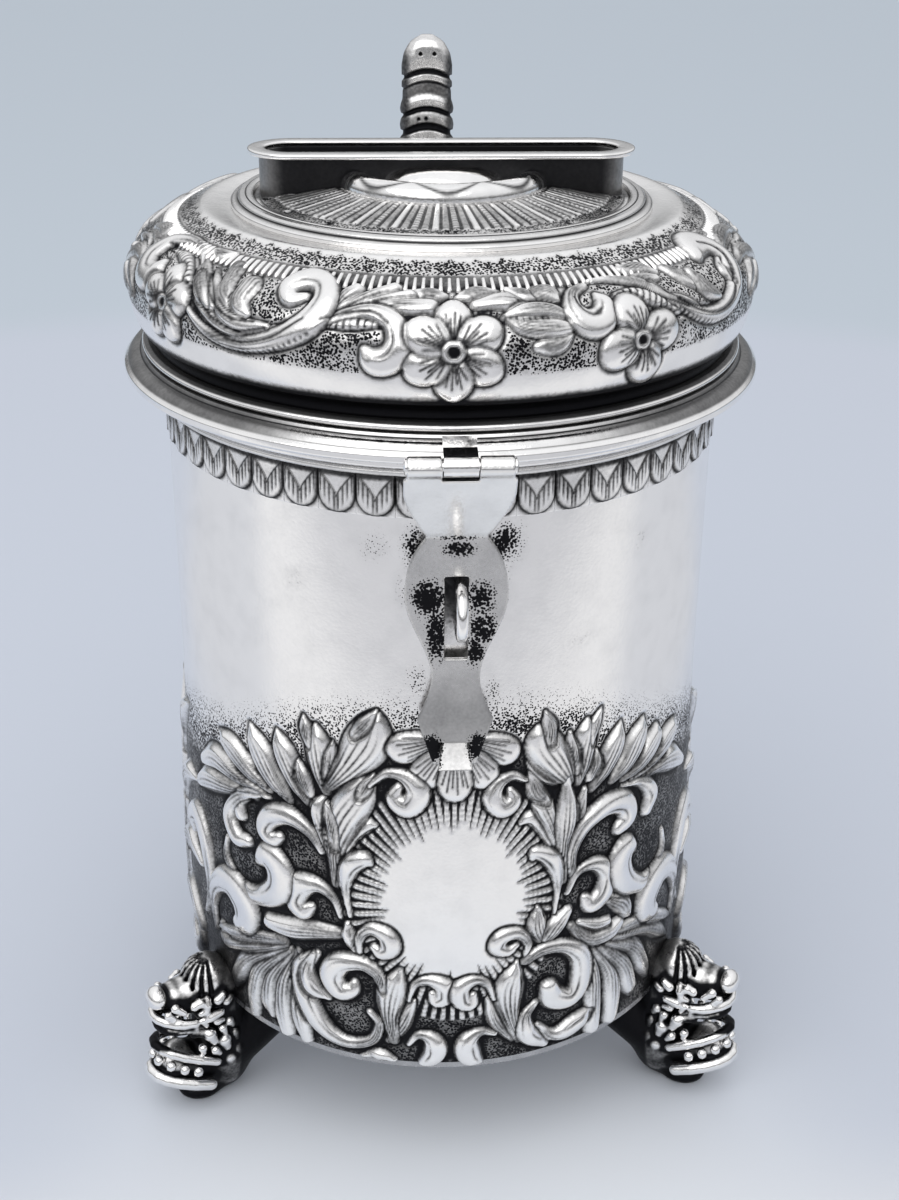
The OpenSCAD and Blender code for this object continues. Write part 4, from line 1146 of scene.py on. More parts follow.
@dataclass
class Wall:
    """The drum's wall with its chased acanthus, medallion and plain upper half."""

    radius: float = WALL_RADIUS
    foot_radius: float = 43.72
    bottom: float = 19.5
    floor: float = 1.0
    waist: float = 64.0
    top: float = 125.0
    thick: float = 1.0
    leaf_rise: float = 1.0
    roll_rise: float = 1.2
    leaf_swell: float = 1.25
    roll_swell: float = 1.15
    oval: tuple[float, float, float, float] = (0.2, 32.0, 9.9, 12.6)
    rays: int = 72
    ray_reach: float = 1.75
    ground_tone: float = 0.8
    # Height of the dark ground at some distances from the front
    ground_reach: tuple[tuple[float, float], ...] = (
        (0, 58), (10, 58), (20, 56), (30, 52), (40, 48), (50, 46), (60, 44), (67.5, 46))
    fan_hub: tuple[float, float] = (0.2, 61.5)
    fan_tips: tuple[tuple[float, float], ...] = (
        (-8.6, 58.4), (8.6, 57.6), (-4.9, 53.4), (5.0, 53.4), (0.2, 51.2))
    # Middle height, half width and half height
    slot_stain: tuple[float, float, float] = (85.0, 3.2, 6.6)
    foot_stain: tuple[float, float, float] = (2.0, 9.5, 13.0)
    chased_top: float = 66.0
    row_pitch: float = 0.21
    panel_edges: tuple[float, ...] = (-180.0, -105.0, -45.0, 0.0, 45.0, 105.0, 180.0)
    panel_pitch: tuple[float, ...] = (0.42, 0.27, 0.2, 0.2, 0.27, 0.42)

    def face(self) -> TurnedFace:
        """Gives the wall's outline, which flares a little to the foot.

        Returns:
            The face.
        """
        low, high = self.bottom + self.floor, self.bottom + self.waist
        flare = bezier((self.foot_radius, low), (self.foot_radius + 0.84, low + 0.3 * self.waist),
                       (self.radius, high - 0.4 * self.waist), (self.radius, high), 40)
        ends = [(self.foot_radius, self.bottom), (self.foot_radius, low)]
        return TurnedFace(np.vstack([ends, flare, [(self.radius, self.top)]]), self.radius)

    def ground(self, relief: Relief) -> None:
        """Darkens and stipples the ground behind the leaves, with a dotted halo over their tips.

        Args:
            relief: The chased sheet.
        """
        reach = np.interp(np.abs(relief.u) % (relief.around / 2), *zip(*self.ground_reach))
        relief.dark = self.ground_tone * smooth(reach + 2.0, reach - 3.0, relief.v)
        relief.dots = 0.8 * smooth(reach + 15.0, reach + 2.0, relief.v)

    def medallion(self, relief: Relief) -> None:
        """Raises the sunburst round the bare oval.

        Args:
            relief: The chased sheet.
        """
        cu, cv, half, tall = self.oval
        du, dv = (relief.u - cu) / half, (relief.v - cv) / tall
        out, turn = np.hypot(du, dv), np.arctan2(dv, du)
        step = turn * self.rays / (2 * math.pi)
        number, off = np.floor(step), np.abs(step % 1.0 - 0.5) * 2.0
        start = 1.06 + 0.05 * np.sin(number * 2.4) + 0.04 * np.sin(number * 5.1 + 1.0)
        along = np.clip((out - start) / 0.5, 0.0, 1.0)
        width = 0.06 + 0.5 * along ** 0.7
        wedge = smooth(width + 0.14, width - 0.14, off) * smooth(start - 0.01, start + 0.05, out)
        bead = 0.5 + 0.5 * np.cos(2 * math.pi * out * half / 0.75)
        row = (1 - wedge) * smooth(start, start + 0.12, out)
        sun = smooth(self.ray_reach + 0.05, self.ray_reach - 0.02, out)
        relief.height = relief.height * (1 - sun) + (0.3 - 0.4 * wedge - 0.1 * row * (1 - bead)) * sun
        relief.dark = relief.dark * (1 - sun) + np.maximum(0.95 * wedge, 0.4 * row * (1 - bead)) * sun
        relief.dots *= 1 - sun

    def palmette(self, relief: Relief) -> None:
        """Raises the fan over the medallion.

        Args:
            relief: The chased sheet.
        """
        hub = np.array(self.fan_hub)
        sizes = ((0.3, 0.8), (0.6, 2.2), (0.85, 2.6), (0.97, 1.6))
        veins = ((-1.9, 0.8), (-1.2, 0.92), (-0.4, 0.84), (0.4, 0.95), (1.2, 0.82), (1.9, 0.86))
        for tip in self.fan_tips:
            relief.petal(hub, np.array(tip) - hub, sizes, veins, 0.3, 0.72, (0.14, 0.9))

    def front(self) -> Relief:
        """Chases the front half of the wall.

        Returns:
            The sheet, with its back half bare.
        """
        relief = Relief(2 * math.pi * self.radius, self.top - self.bottom)
        self.ground(relief)
        self.medallion(relief)
        relief.lobes((*LEFT_BLADES, *RIGHT_BLADES), Form.LEAF, self.leaf_rise, self.leaf_swell)
        self.palmette(relief)
        relief.lobes((*LEFT_SCROLLS, *RIGHT_SCROLLS), Form.ROLL, self.roll_rise, self.roll_swell)
        for stem in BEAD_STEMS:
            relief.line(stem, 0.3, 0.1, 0.9, 1.0)
        return relief

    def stain(self, relief: Relief) -> None:
        """Stains the upper wall with painted shade round the hasp, and paints a shadow on the wall behind the
        hasp's slot and shade on the wall behind each foot.

        Args:
            relief: The chased sheet.
        """
        # Stains, and round the hasp painted shade under it as well
        for u, v, wide, tall, tone in WALL_STAINS_AND_SHADE:
            blot = tone * np.exp(-(((relief.u - u) / wide) ** 2 + ((relief.v - v) / tall) ** 2))
            relief.dark = np.maximum(relief.dark, 0.2 * blot)
            relief.dots = np.maximum(relief.dots, blot)
        # Painted shadow on the wall under the hasp plate, seen dark through its slot
        middle, wide, tall = self.slot_stain
        shadow_behind_slot = np.exp(-((relief.u / wide) ** 2 + ((relief.v - middle) / tall) ** 2) ** 2)
        relief.dark = np.maximum(relief.dark, 0.99 * shadow_behind_slot)
        half = relief.around / 2
        # Painted shade on the wall behind each foot
        middle, wide, tall = self.foot_stain
        for turn in FOOT_TURNS.values():
            off = (relief.u - math.radians(turn) * self.radius + half) % (2 * half) - half
            shade_behind_foot = smooth(1.3, 0.7, np.hypot(off / wide, (relief.v - middle) / tall))
            relief.dark = np.maximum(relief.dark, 0.96 * shade_behind_foot)

    def relief(self) -> Relief:
        """Chases the whole wall: the front, the same again behind, and a leaf on each side.

        Returns:
            The sheet.
        """
        whole = self.front()
        whole.settle()
        whole.repeat_behind()
        for middle in (-whole.around / 4, whole.around / 4):
            for group, form in ((SIDE_BLADES, Form.LEAF), (SIDE_SCROLLS, Form.ROLL)):
                strokes = [[(middle + hand * u, v, half) for u, v, half in knots]
                           for knots in group for hand in (-1, 1)]
                whole.lobes(strokes, form, self.leaf_rise)
        self.stain(whole)
        return whole

    def build(self, studio: Studio) -> None:
        """Cuts the wall in panels and enters them.

        Args:
            studio: Gives the finishes and enters the pieces.
        """
        relief, face = self.relief(), self.face()
        end = self.top - self.bottom
        rows = np.concatenate([np.arange(self.floor, self.chased_top, self.row_pitch),
                               np.linspace(self.chased_top, end, 24)])
        back_rows = np.array([self.floor, 30.0, end])
        spans = np.radians(list(zip(self.panel_edges, self.panel_edges[1:]))) * self.radius
        for k, (span, pitch) in enumerate(zip(spans, self.panel_pitch), 1):
            panel = face.panel(relief, tuple(span), pitch, rows, back_rows, self.thick)
            studio.enter(panel.mesh(f"wall_panel_{k}"), Body.BOX, Slot.CHASED, "body_wall")


LID_BLADES: tuple[Points, ...] = (
    ((-60, 7, .4), (-64, 10, 1.1), (-67, 14, .9)), ((-61, 6.5, .4), (-67, 8, 1.1), (-71, 11.5, .8)),
    ((-60, 14.5, .4), (-64, 16, .9), (-69, 15.5, .7)),
    ((-62, 12.5, .4), (-66.5, 14.2, .8), (-71.5, 13.6, .6)),
    ((56, 8, .4), (60, 10.5, 1.1), (63, 14.5, .9)), ((57, 7, .4), (63, 8, 1.1), (68, 11.5, .8)),
    ((55, 15.2, .4), (60, 16.2, .9), (66, 15.5, .7)), ((58, 12.5, .4), (63.5, 13.2, .8), (70, 13.8, .6)),
    ((-18, 13, .3), (-16.5, 15, 1.1), (-15.2, 16.6, .9)),
    ((-17.5, 12.8, .3), (-13.5, 15, 1.0), (-9.5, 17.2, .9)),
    ((-17, 12.5, .3), (-11.5, 14.5, .9), (-7, 15.8, 1.1)),
    ((-6.5, 17, .2), (-4, 16.3, 1.0), (-1.8, 16.2, .2)),
    ((-15, 13.3, .2), (-9, 14.2, .8), (-4.5, 14.2, 1.1), (-3.8, 14.8, .4)),
    ((-.3, 15.8, .3), (2.5, 16.6, 1.0), (6, 16.7, .2)),
    ((17, 10.5, .3), (12, 13, .8), (7, 15, 1.2), (2.3, 14.6, .6)),
    ((16.5, 11.5, .3), (12.5, 13.2, .9), (9, 13.2, 1.0), (6, 12.5, .3)),
    ((7, 17.2, .3), (9.5, 16, .9), (11.5, 15.3, .3)),
    ((12, 16.3, 1.0), (13.5, 16, 1.1), (14.3, 14.8, .4)),
    ((10.3, 8.2, .5), (13, 8.4, 1.1), (15.2, 9.6, .3)),
    ((6.6, 12, .3), (9, 11, 1.0), (13, 10.6, 1.0), (16, 10.4, .3)),
    ((-40.5, 10.8, .5), (-35, 8.4, .7), (-29, 8, .8), (-24, 9.6, .5)),
    ((-40.3, 15.8, .3), (-36.5, 11.5, .9), (-32, 9.2, .9), (-27, 9.3, .4)),
    ((-37, 17.2, 1.2), (-36, 13.5, 1.0), (-33, 10.8, .4)),
    ((-32.3, 14.6, 1.5), (-32.5, 12, 1.2), (-30.5, 10.5, .4)),
    ((-44.5, 16.5, .7), (-41, 13, 1.3), (-37, 10.5, .5)),
    ((-42.5, 13.8, .9), (-40.5, 12, 1.0), (-38, 10.3, .4)),
    ((-45, 19, .5), (-42.5, 18.6, .9), (-40.2, 19.4, .4)),
    ((27.5, 18.5, .5), (31, 18, 1.0), (34, 16.5, .3)),
    ((29, 16.2, .8), (31, 16, .7), (33, 15.6, .5)),
    ((31, 14.2, .9), (32, 11.6, 1.3), (35, 10.8, 1.0), (38, 9.6, .4)),
    ((36, 17, .7), (38, 14.5, 1.0), (40, 12, .4)),
    ((40.6, 15, .6), (41, 12, 1.2), (44, 9.8, .5)),
    ((53, 19.5, .3), (55, 19.2, .9), (57, 18.5, .3)),
    ((55, 15.5, .4), (60, 17, 1.1), (66, 16.5, 1.0), (71, 14, .4)),
    ((56, 12.5, .4), (61, 13, 1.0), (66, 11.5, 1.1), (70, 8.5, .4)),
    ((-62, 16.5, .4), (-66, 17.5, 1.1), (-71, 16, .5)),
    ((-61, 12, .4), (-66, 12.5, 1.1), (-70, 10, .8), (-73, 7, .3)),
)
LID_SCROLLS: tuple[Points, ...] = (
    ((-20.5, 9.6, .3), (-16.5, 12.2, .9), (-12.5, 13.2, 1.1), (-9.3, 12, 1.2), (-8, 9.4, 1.4),
     (-9, 7, 1.5), (-11.2, 6.3, 1.4), (-12.6, 7.8, .5)),
    ((-44, 10.5, .4), (-38, 7, .9), (-32, 6.2, 1.1), (-26, 7.6, 1.3), (-21, 10.5, 1.6), (-19.3, 14, 1.5),
     (-20.5, 17, 1.4), (-23.5, 17.6, 1.5), (-25.8, 15.8, 1.2), (-24.6, 13.8, .9), (-22.5, 14.5, .5)),
    ((-44.5, 16, .4), (-48, 18.2, .9), (-53, 18.8, 1.1), (-57.5, 17, 1.4), (-59, 13.5, 1.9), (-57, 11, 1.9),
     (-54, 11.5, 1.5), (-53.4, 13.6, .6)),
    ((19.6, 16.6, .7), (17, 15.4, 1.2), (16.2, 12.8, 1.5), (17.6, 10.8, 1.6), (20, 10.8, 1.6),
     (21.2, 12.8, 1.2), (20.6, 14.6, .4)),
    ((20.5, 17.3, .4), (25, 17, .9), (29, 15.5, 1.0), (32, 12.7, .8), (36, 9.5, .9), (41, 7.9, 1.1),
     (46, 8.4, 1.2), (50.5, 11, 1.4), (53, 15, 1.6), (51.3, 18.2, 1.9), (47.5, 18.6, 2.0), (45.6, 16.8, 1.0)),
    ((50.5, 14.8, .5), (48.8, 13.2, .8), (49.2, 11, .4)),
)
LID_COMBS: tuple[Points, ...] = (
    ((-18.5, 10.8, .3), (-15, 11.2, .7), (-11, 11.3, .3)),
    ((-52.8, 16.2, .3), (-49, 15.6, .8), (-45, 13, .8), (-43.5, 11, .3)),
    ((23.5, 14.2, .3), (27, 13.8, .8), (30.5, 12, .8), (32.5, 10.6, .3)),
)
LID_LINES: tuple[Points, ...] = (
    ((-43, 11.4), (-37.5, 7.8), (-31.8, 6.7), (-26, 8.1), (-21.4, 11)),
    ((-42.5, 13), (-37.5, 9.6), (-32, 8.2), (-27, 9.2)),
    ((-41, 15), (-37.2, 11.2), (-33, 9.6), (-29, 9.7)),
    ((-56.5, 16.4), (-52.5, 17.8), (-48, 17.4), (-45, 15.6)),
    ((34, 11.6), (38, 9.2), (42, 8.2), (46.5, 8.9), (50.2, 11.7)),
    ((24, 16.2), (28.5, 14.9), (31.5, 12.4), (35.5, 10.2)),
    ((-19, 11.2), (-15.6, 12.6), (-12, 12.9), (-9.6, 11.4)),
    ((16.8, 14.4), (17.3, 12.4), (18.6, 11.6), (20, 12.2)),
    ((48.6, 18.2), (51, 17), (51.8, 14.8), (50, 12)),
)
LID_STEMS: tuple[Points, ...] = (
    ((-43, 9.2), (-37.5, 6.0), (-32, 5.2), (-26, 6.4), (-20.5, 9.2)),
    ((33, 10.8), (37, 8.2), (42, 6.7), (47, 7.2), (51.5, 10)),
    ((-2, 13.2), (3, 13.4), (8, 12), (12, 11.8)),
)
# Flowers on the lid: middle, reach of a petal, half its width, and the petals' directions in degrees
LID_FLOWERS: tuple[tuple[tuple[float, float], float, float, tuple[float, ...]], ...] = (
    ((-0.9, 8.0), 6.1, 2.2, (90, 30, -30, -90, -150, 150)),
    ((26.0, 7.4), 5.4, 2.4, (105, 10, -75, 195)),
    ((-48.0, 8.7), 4.8, 2.1, (90, 18, -54, -126, 162)),
)


@dataclass
class LidDome:
    """The lid's bulging wall: chased flowers and scrolls between a plain band and a fluted border."""

    neck_radius: float = 44.6
    lip_radius: float = 46.3
    radius: float = 47.8
    cove_radius: float = 36.25
    crown_radius: float = 27.7
    bottom: float = 130.2
    lip: float = 132.8
    widest: float = 138.885
    cove: float = 149.9
    top: float = CROWN_FOOT
    thick: float = 1.0
    rise: float = 0.8
    leaf_swell: float = 1.3
    roll_swell: float = 1.12
    flutes: int = 226
    flute_half: float = 0.36
    flute_foot: float = 16.7
    flute_length: float = 3.0
    back_clear: float = 9.0
    neck_steps: int = 10
    chased_length: float = 23.4
    row_pitch: float = 0.21
    panel_pitch: tuple[float, ...] = (0.36, 0.21, 0.21, 0.36)

    def face(self) -> TurnedFace:
        """Gives the dome's outline from its neck to the foot of the crown.

        Returns:
            The face.
        """
        r, c = self.radius, self.cove_radius
        foot, lip = (self.neck_radius, self.bottom), (self.lip_radius, self.lip)
        neck = bezier(foot, (44.2, 131.17), (44.6, 132.13), lip, self.neck_steps)
        low = bezier(lip, (47.2, 134.4), (r, 136.57), (r, self.widest), 14)
        high = bezier((r, self.widest), (r, 144.68), (43.87, 146.22), (c, self.cove), 30)
        hollow = bezier((c, self.cove), (34.93, 150.0), (33.45, self.top), (31.85, self.top), 10)
        return TurnedFace(np.vstack([[foot], neck, low, high, hollow, [(self.crown_radius, self.top)]]), r)

    def relief(self) -> tuple[Relief, float]:
        """Chases the dome.

        Returns:
            The sheet, and the length of the neck below the lip, where v is 0 for the strokes.
        """
        stations = self.face().stations()
        start = float(stations[self.neck_steps])
        sheet = Relief(2 * math.pi * self.radius, float(stations[-1]))
        u, v = sheet.u, sheet.v - start
        belt = band((4.2, 5.0), (16.9, 16.3), v)
        flute_bed = band((16.3, 16.7), (20.2, 19.7), v)
        ragged = 0.3 * np.sin(u * 1.3) + 0.2 * np.sin(u * 2.9 + 1.0)
        border = smooth(19.7, 20.1, v) * smooth(23.2, 22.4, v + ragged)
        # The neck below the lip is blackened with a painted dark reflection
        sheet.dark = np.maximum.reduce([smooth(1.7, 0.6, v), 0.26 * belt, 0.18 * border, 0.8 * flute_bed])
        sheet.dots = np.maximum(0.72 * belt, 0.74 * border)
        sheet.lobes(LID_BLADES, Form.LEAF, self.rise, self.leaf_swell, 0.48, start)
        sheet.lobes(LID_COMBS, Form.COMB, self.rise, self.leaf_swell, 0.6, start)
        sheet.lobes(LID_SCROLLS, Form.ROLL, self.rise, self.roll_swell, 0.72, start)
        for stroke in LID_LINES:
            sheet.line(stroke, 0.18, 0.12, 0.97, base=start)
        for stem in LID_STEMS:
            sheet.line(stem, 0.26, 0.08, 0.9, 0.9, start)
        for (across, up), length, half, turns in LID_FLOWERS:
            sheet.flower((across, up + start), length, half, turns)
        sheet.repeat_behind()
        sheet.settle(0.55)
        clear = sheet.around / 2 - self.back_clear
        sheet.height *= smooth(clear, clear - 4.0, np.abs(u)) * 0.8 + 0.2
        return sheet, start

    def flute(self, start: float) -> Shell:
        """Makes one short raised bar of the fluted border, at the front.

        Args:
            start: Length of the neck.

        Returns:
            The bar.
        """
        face = self.face()
        s, t = np.meshgrid(np.linspace(0.0, 1.0, 6), np.linspace(-1.0, 1.0, 5), indexing="ij")
        swell = np.sqrt(np.clip(1.0 - t ** 2, 0.0, 1.0)) * np.sqrt(np.clip(1.0 - (2 * s - 1) ** 6, 0.0, 1.0))
        u, v = self.flute_half * t, start + self.flute_foot + self.flute_length * s
        top = face.place(u, v, self.flute_half * swell - 0.05)
        return slab(top, face.place(u, v, np.full(s.shape, -0.3)))

    def build(self, studio: Studio, repeats: "Repeats") -> None:
        """Cuts the dome in panels, enters them, and sets the flutes round it.

        Args:
            studio: Gives the finishes and enters the pieces.
            repeats: Makes the repeated shapes.
        """
        relief, start = self.relief()
        face = self.face()
        end, chased_end = float(face.stations()[-1]), start + self.chased_length
        rows = np.concatenate([np.linspace(0.0, start, 10)[:-1], np.arange(start, chased_end, self.row_pitch),
                               np.linspace(chased_end + 0.1, end, 16)])
        back_rows = np.linspace(0.0, end, 28)
        quarter = relief.around / 4
        for k, pitch in enumerate(self.panel_pitch):
            span = ((k - 2) * quarter, (k - 1) * quarter)
            panel = face.panel(relief, span, pitch, rows, back_rows, self.thick)
            studio.enter(panel.mesh(f"lid_dome_panel_{k + 1}"), Body.LID, Slot.CHASED, "lid_dome")
        bars = repeats.ring(self.flute(start).mesh("lid_flutes"), self.flutes, studio.material(Slot.CHASED))
        studio.enter(bars, Body.LID, Slot.CHASED)


@dataclass
class Crown:
    """The lid's top: radial plate, boss cut by the coin slot, and the slot's raised collar."""

    rim: float = 28.4
    edge: float = 27.4
    cone: float = 16.1
    low: float = CROWN_FOOT
    lip: float = 150.7
    high: float = 152.5
    reach: float = 22.45
    hole: float = 5.0
    collar_out: float = 4.95
    collar_in: float = 4.05
    collar_low: float = 146.5
    rim_low: float = 156.8
    rim_high: float = 157.6
    rim_out: float = 6.65
    bevel: float = 0.35
    flutes: int = 108
    pits: int = 18
    pit_radius: float = 26.4
    boss: float = 14.2
    boss_half: float = 2.35
    boss_rise: float = 2.5
    boss_gap: float = 0.4
    button_radius: float = 10.4
    button_rise: float = 3.4
    sunk: float = 0.3

    def slot_edge(self, angle: np.ndarray, half: float) -> np.ndarray:
        """Gives the distance from the axis to a slot-shaped outline.

        Args:
            angle: Direction from the front.
            half: Half the slot's width.

        Returns:
            The distance in each direction.
        """
        across, along = np.abs(np.cos(angle)), np.abs(np.sin(angle))
        straight = half / np.maximum(across, 1e-6)
        end = self.reach * along + np.sqrt(np.maximum(half ** 2 - (self.reach * across) ** 2, 0.0))
        return np.where(straight * along <= self.reach, straight, end)

    def plate(self) -> Shell:
        """Makes the fluted plate with its scalloped border, with painted shade toward its sides and beside
        the collar.

        Returns:
            The plate, open at the slot.
        """
        angle = np.linspace(0.0, 2 * math.pi, self.flutes * 8, endpoint=False)[None, :]
        share = np.linspace(0.0, 1.0, 80)[:, None]
        inner = self.slot_edge(angle, self.hole)
        r = inner + (self.rim - inner) * share
        heights = (self.high, self.lip, self.lip, self.lip - self.bevel)
        z = np.interp(r, (self.cone, self.edge, self.rim - self.bevel, self.rim), heights)
        count = angle * self.flutes / (2 * math.pi)
        number, off = np.floor(count), np.abs(count % 1.0 - 0.5) * 2.0
        fan = band((16.6, 17.0), (25.6, 25.2), r)
        groove = smooth(0.42, 0.75, off)
        bead = 0.5 + 0.5 * np.cos(2 * math.pi * r / 0.8)
        beaded = number % 4 == 0
        border = band((25.2, 25.6), (27.5, 27.2), r)
        arc = 25.5 + 0.5 * np.abs(np.sin(angle * self.pits))
        way = (angle * self.pits / (2 * math.pi) + 0.5) % 1.0 - 0.5
        pit = smooth(0.85, 0.55, np.hypot(way * 2 * math.pi / self.pits * 26.3, r - self.pit_radius))
        z = z + fan * (0.25 * (1 - groove) + 0.1 * bead * beaded) - 0.35 * pit
        # Painted shade toward the plate's sides and next to the collar
        ends = smooth(0.82, 0.98, np.abs(np.sin(angle)))
        under = smooth(4.0, 0.6, r - inner)

        def ring_line(radius: np.ndarray | float, half: float) -> np.ndarray:
            """Marks an engraved line at a distance from the axis."""
            return 0.95 * np.exp(-((r - radius) / half) ** 2)

        dark = np.maximum.reduce([
            fan * 0.92 * groove, fan * beaded * 0.75 * (1 - bead), fan * 0.5 * (number % 2), border * 0.4,
            border * ring_line(arc, 0.22), pit, ring_line(16.4, 0.3), ring_line(27.5, 0.22),
            0.6 * ends * smooth(27.4, 25.0, r), 0.85 * under])
        floor = np.interp(r, (self.cone, self.pit_radius, self.rim), (self.high - 1.2, self.low, self.low))
        loop = np.vstack([polar(r, angle, z), polar(r, angle, floor)[::-5]])
        spare = loop.size // 3 - r.size
        wear = [np.pad(np.broadcast_to(k, r.shape).ravel(), (0, spare)) for k in (dark, border * 0.7)]
        return Shell(loop.reshape(-1, 3), grid_quads(*loop.shape[:2], True, True), [], *wear)

    def along_slot(self, outline: np.ndarray) -> Shell:
        """Sweeps a closed outline, given as distance from the slot's line and height, round the slot.

        Args:
            outline: Corners as distance from the slot's line and height.

        Returns:
            The rim.
        """
        turn = np.linspace(-math.pi / 2, math.pi / 2, 41)
        turn = np.concatenate([turn, turn + math.pi])
        shift = np.repeat([self.reach, -self.reach], 41)
        r, z = outline[:, :1], np.repeat(outline[:, 1:], len(turn), 1)
        points = np.stack([shift + r * np.cos(turn), r * np.sin(turn), z], -1).reshape(-1, 3)
        return Shell(points, grid_quads(len(outline), len(turn), True, True))

    def boss_ring(self) -> Shell:
        """Makes the two arcs of the rounded ring with their engraved wave.

        Returns:
            The arcs.
        """
        turn = np.linspace(0.0, math.pi, 22)
        section = np.stack([self.boss - self.boss_half * np.cos(turn),
                            self.high + self.boss_rise * np.sin(turn) ** 0.7], 1)
        under = self.high - self.sunk
        ends = [(self.boss + self.boss_half, under), (self.boss - self.boss_half, under)]
        section = np.vstack([section, ends])
        share = np.linspace(0.0, 1.0, 220)
        r, z = section[:, :1], np.repeat(section[:, 1:], len(share), 1)
        angle = self.boss_gap + (math.pi - 2 * self.boss_gap) * np.broadcast_to(share, z.shape)
        points = np.stack([r * np.cos(angle), -r * np.sin(angle), z], -1).reshape(-1, 3)
        swag = 13.6 + 2.6 * np.abs(np.cos((angle - math.pi / 2) * 4.4)) ** 0.8
        inward = math.pi / 2 - self.boss_gap - np.abs(angle - math.pi / 2)
        wave = np.exp(-((r - swag) / 0.26) ** 2) * smooth(0.16, 0.26, inward)
        dark = np.maximum(wave, np.exp(-((inward - 0.1) * 13.5 / 0.22) ** 2))
        dark = 0.95 * dark * (z > self.high + 0.3)
        n, m = len(section), len(share)
        ids = np.arange(n * m).reshape(n, m)
        arc = Shell(points, grid_quads(n, m, True, False), [ids[:, 0], ids[::-1, -1]], dark.ravel())
        return joined([arc, arc.turned(180)])

    def button(self) -> Shell:
        """Makes the two halves of the low button inside the ring.

        Returns:
            The halves.
        """
        size, flat = self.button_radius, self.collar_out + 0.02
        across = math.sqrt(size ** 2 - flat ** 2)
        x = np.linspace(-1.0, 1.0, 61)[None, :] * (across - 0.05)
        share = np.linspace(0.0, 1.0, 40)[:, None]
        y = flat + (np.sqrt(size ** 2 - x ** 2) - flat) * share
        out = np.hypot(x, y) / size
        z = self.high + self.button_rise * np.sqrt(np.clip(1.0 - out ** 5, 0.0, 1.0))
        top = np.stack([x + 0 * y, -y, z], -1)
        base = top.copy()
        base[..., 2] = self.high - self.sunk
        part = slab(top, base)
        return joined([part, part.turned(180)])

    def build(self, studio: Studio) -> None:
        """Makes and enters the pieces of the crown.

        Args:
            studio: Gives the finishes and enters the pieces.
        """
        studio.enter(self.plate().mesh("crown_fluted_plate"), Body.LID, Slot.CHASED, "crown_plate")
        studio.enter(self.boss_ring().mesh("crown_boss_ring", 60), Body.LID, Slot.POLISHED, "boss_ring")
        studio.enter(self.button().mesh("crown_button", 60), Body.LID, Slot.POLISHED, "boss_button")
        collar = fillet([(self.collar_in, self.collar_low), (self.collar_out, self.collar_low),
                         (self.collar_out, self.rim_low), (self.collar_in, self.rim_low)], 0.15)
        wall = self.along_slot(collar)
        # Painted dark reflection on the collar's long faces, lighter round the slot's ends
        wall.tarnish = 0.985 - 0.3 * smooth(self.reach + 1.0, self.reach + 4.5, np.abs(wall.points[:, 0]))
        studio.enter(wall.mesh("slot_collar_wall", 40), Body.LID, Slot.POLISHED, "slot_collar")
        lip = fillet([(self.collar_in, self.rim_low), (self.rim_out, self.rim_low),
                      (self.rim_out, self.rim_high), (self.collar_in, self.rim_high)], 0.35, 6)
        studio.enter(self.along_slot(lip).mesh("slot_rim_plate", 40), Body.LID, Slot.POLISHED, "slot_rim")


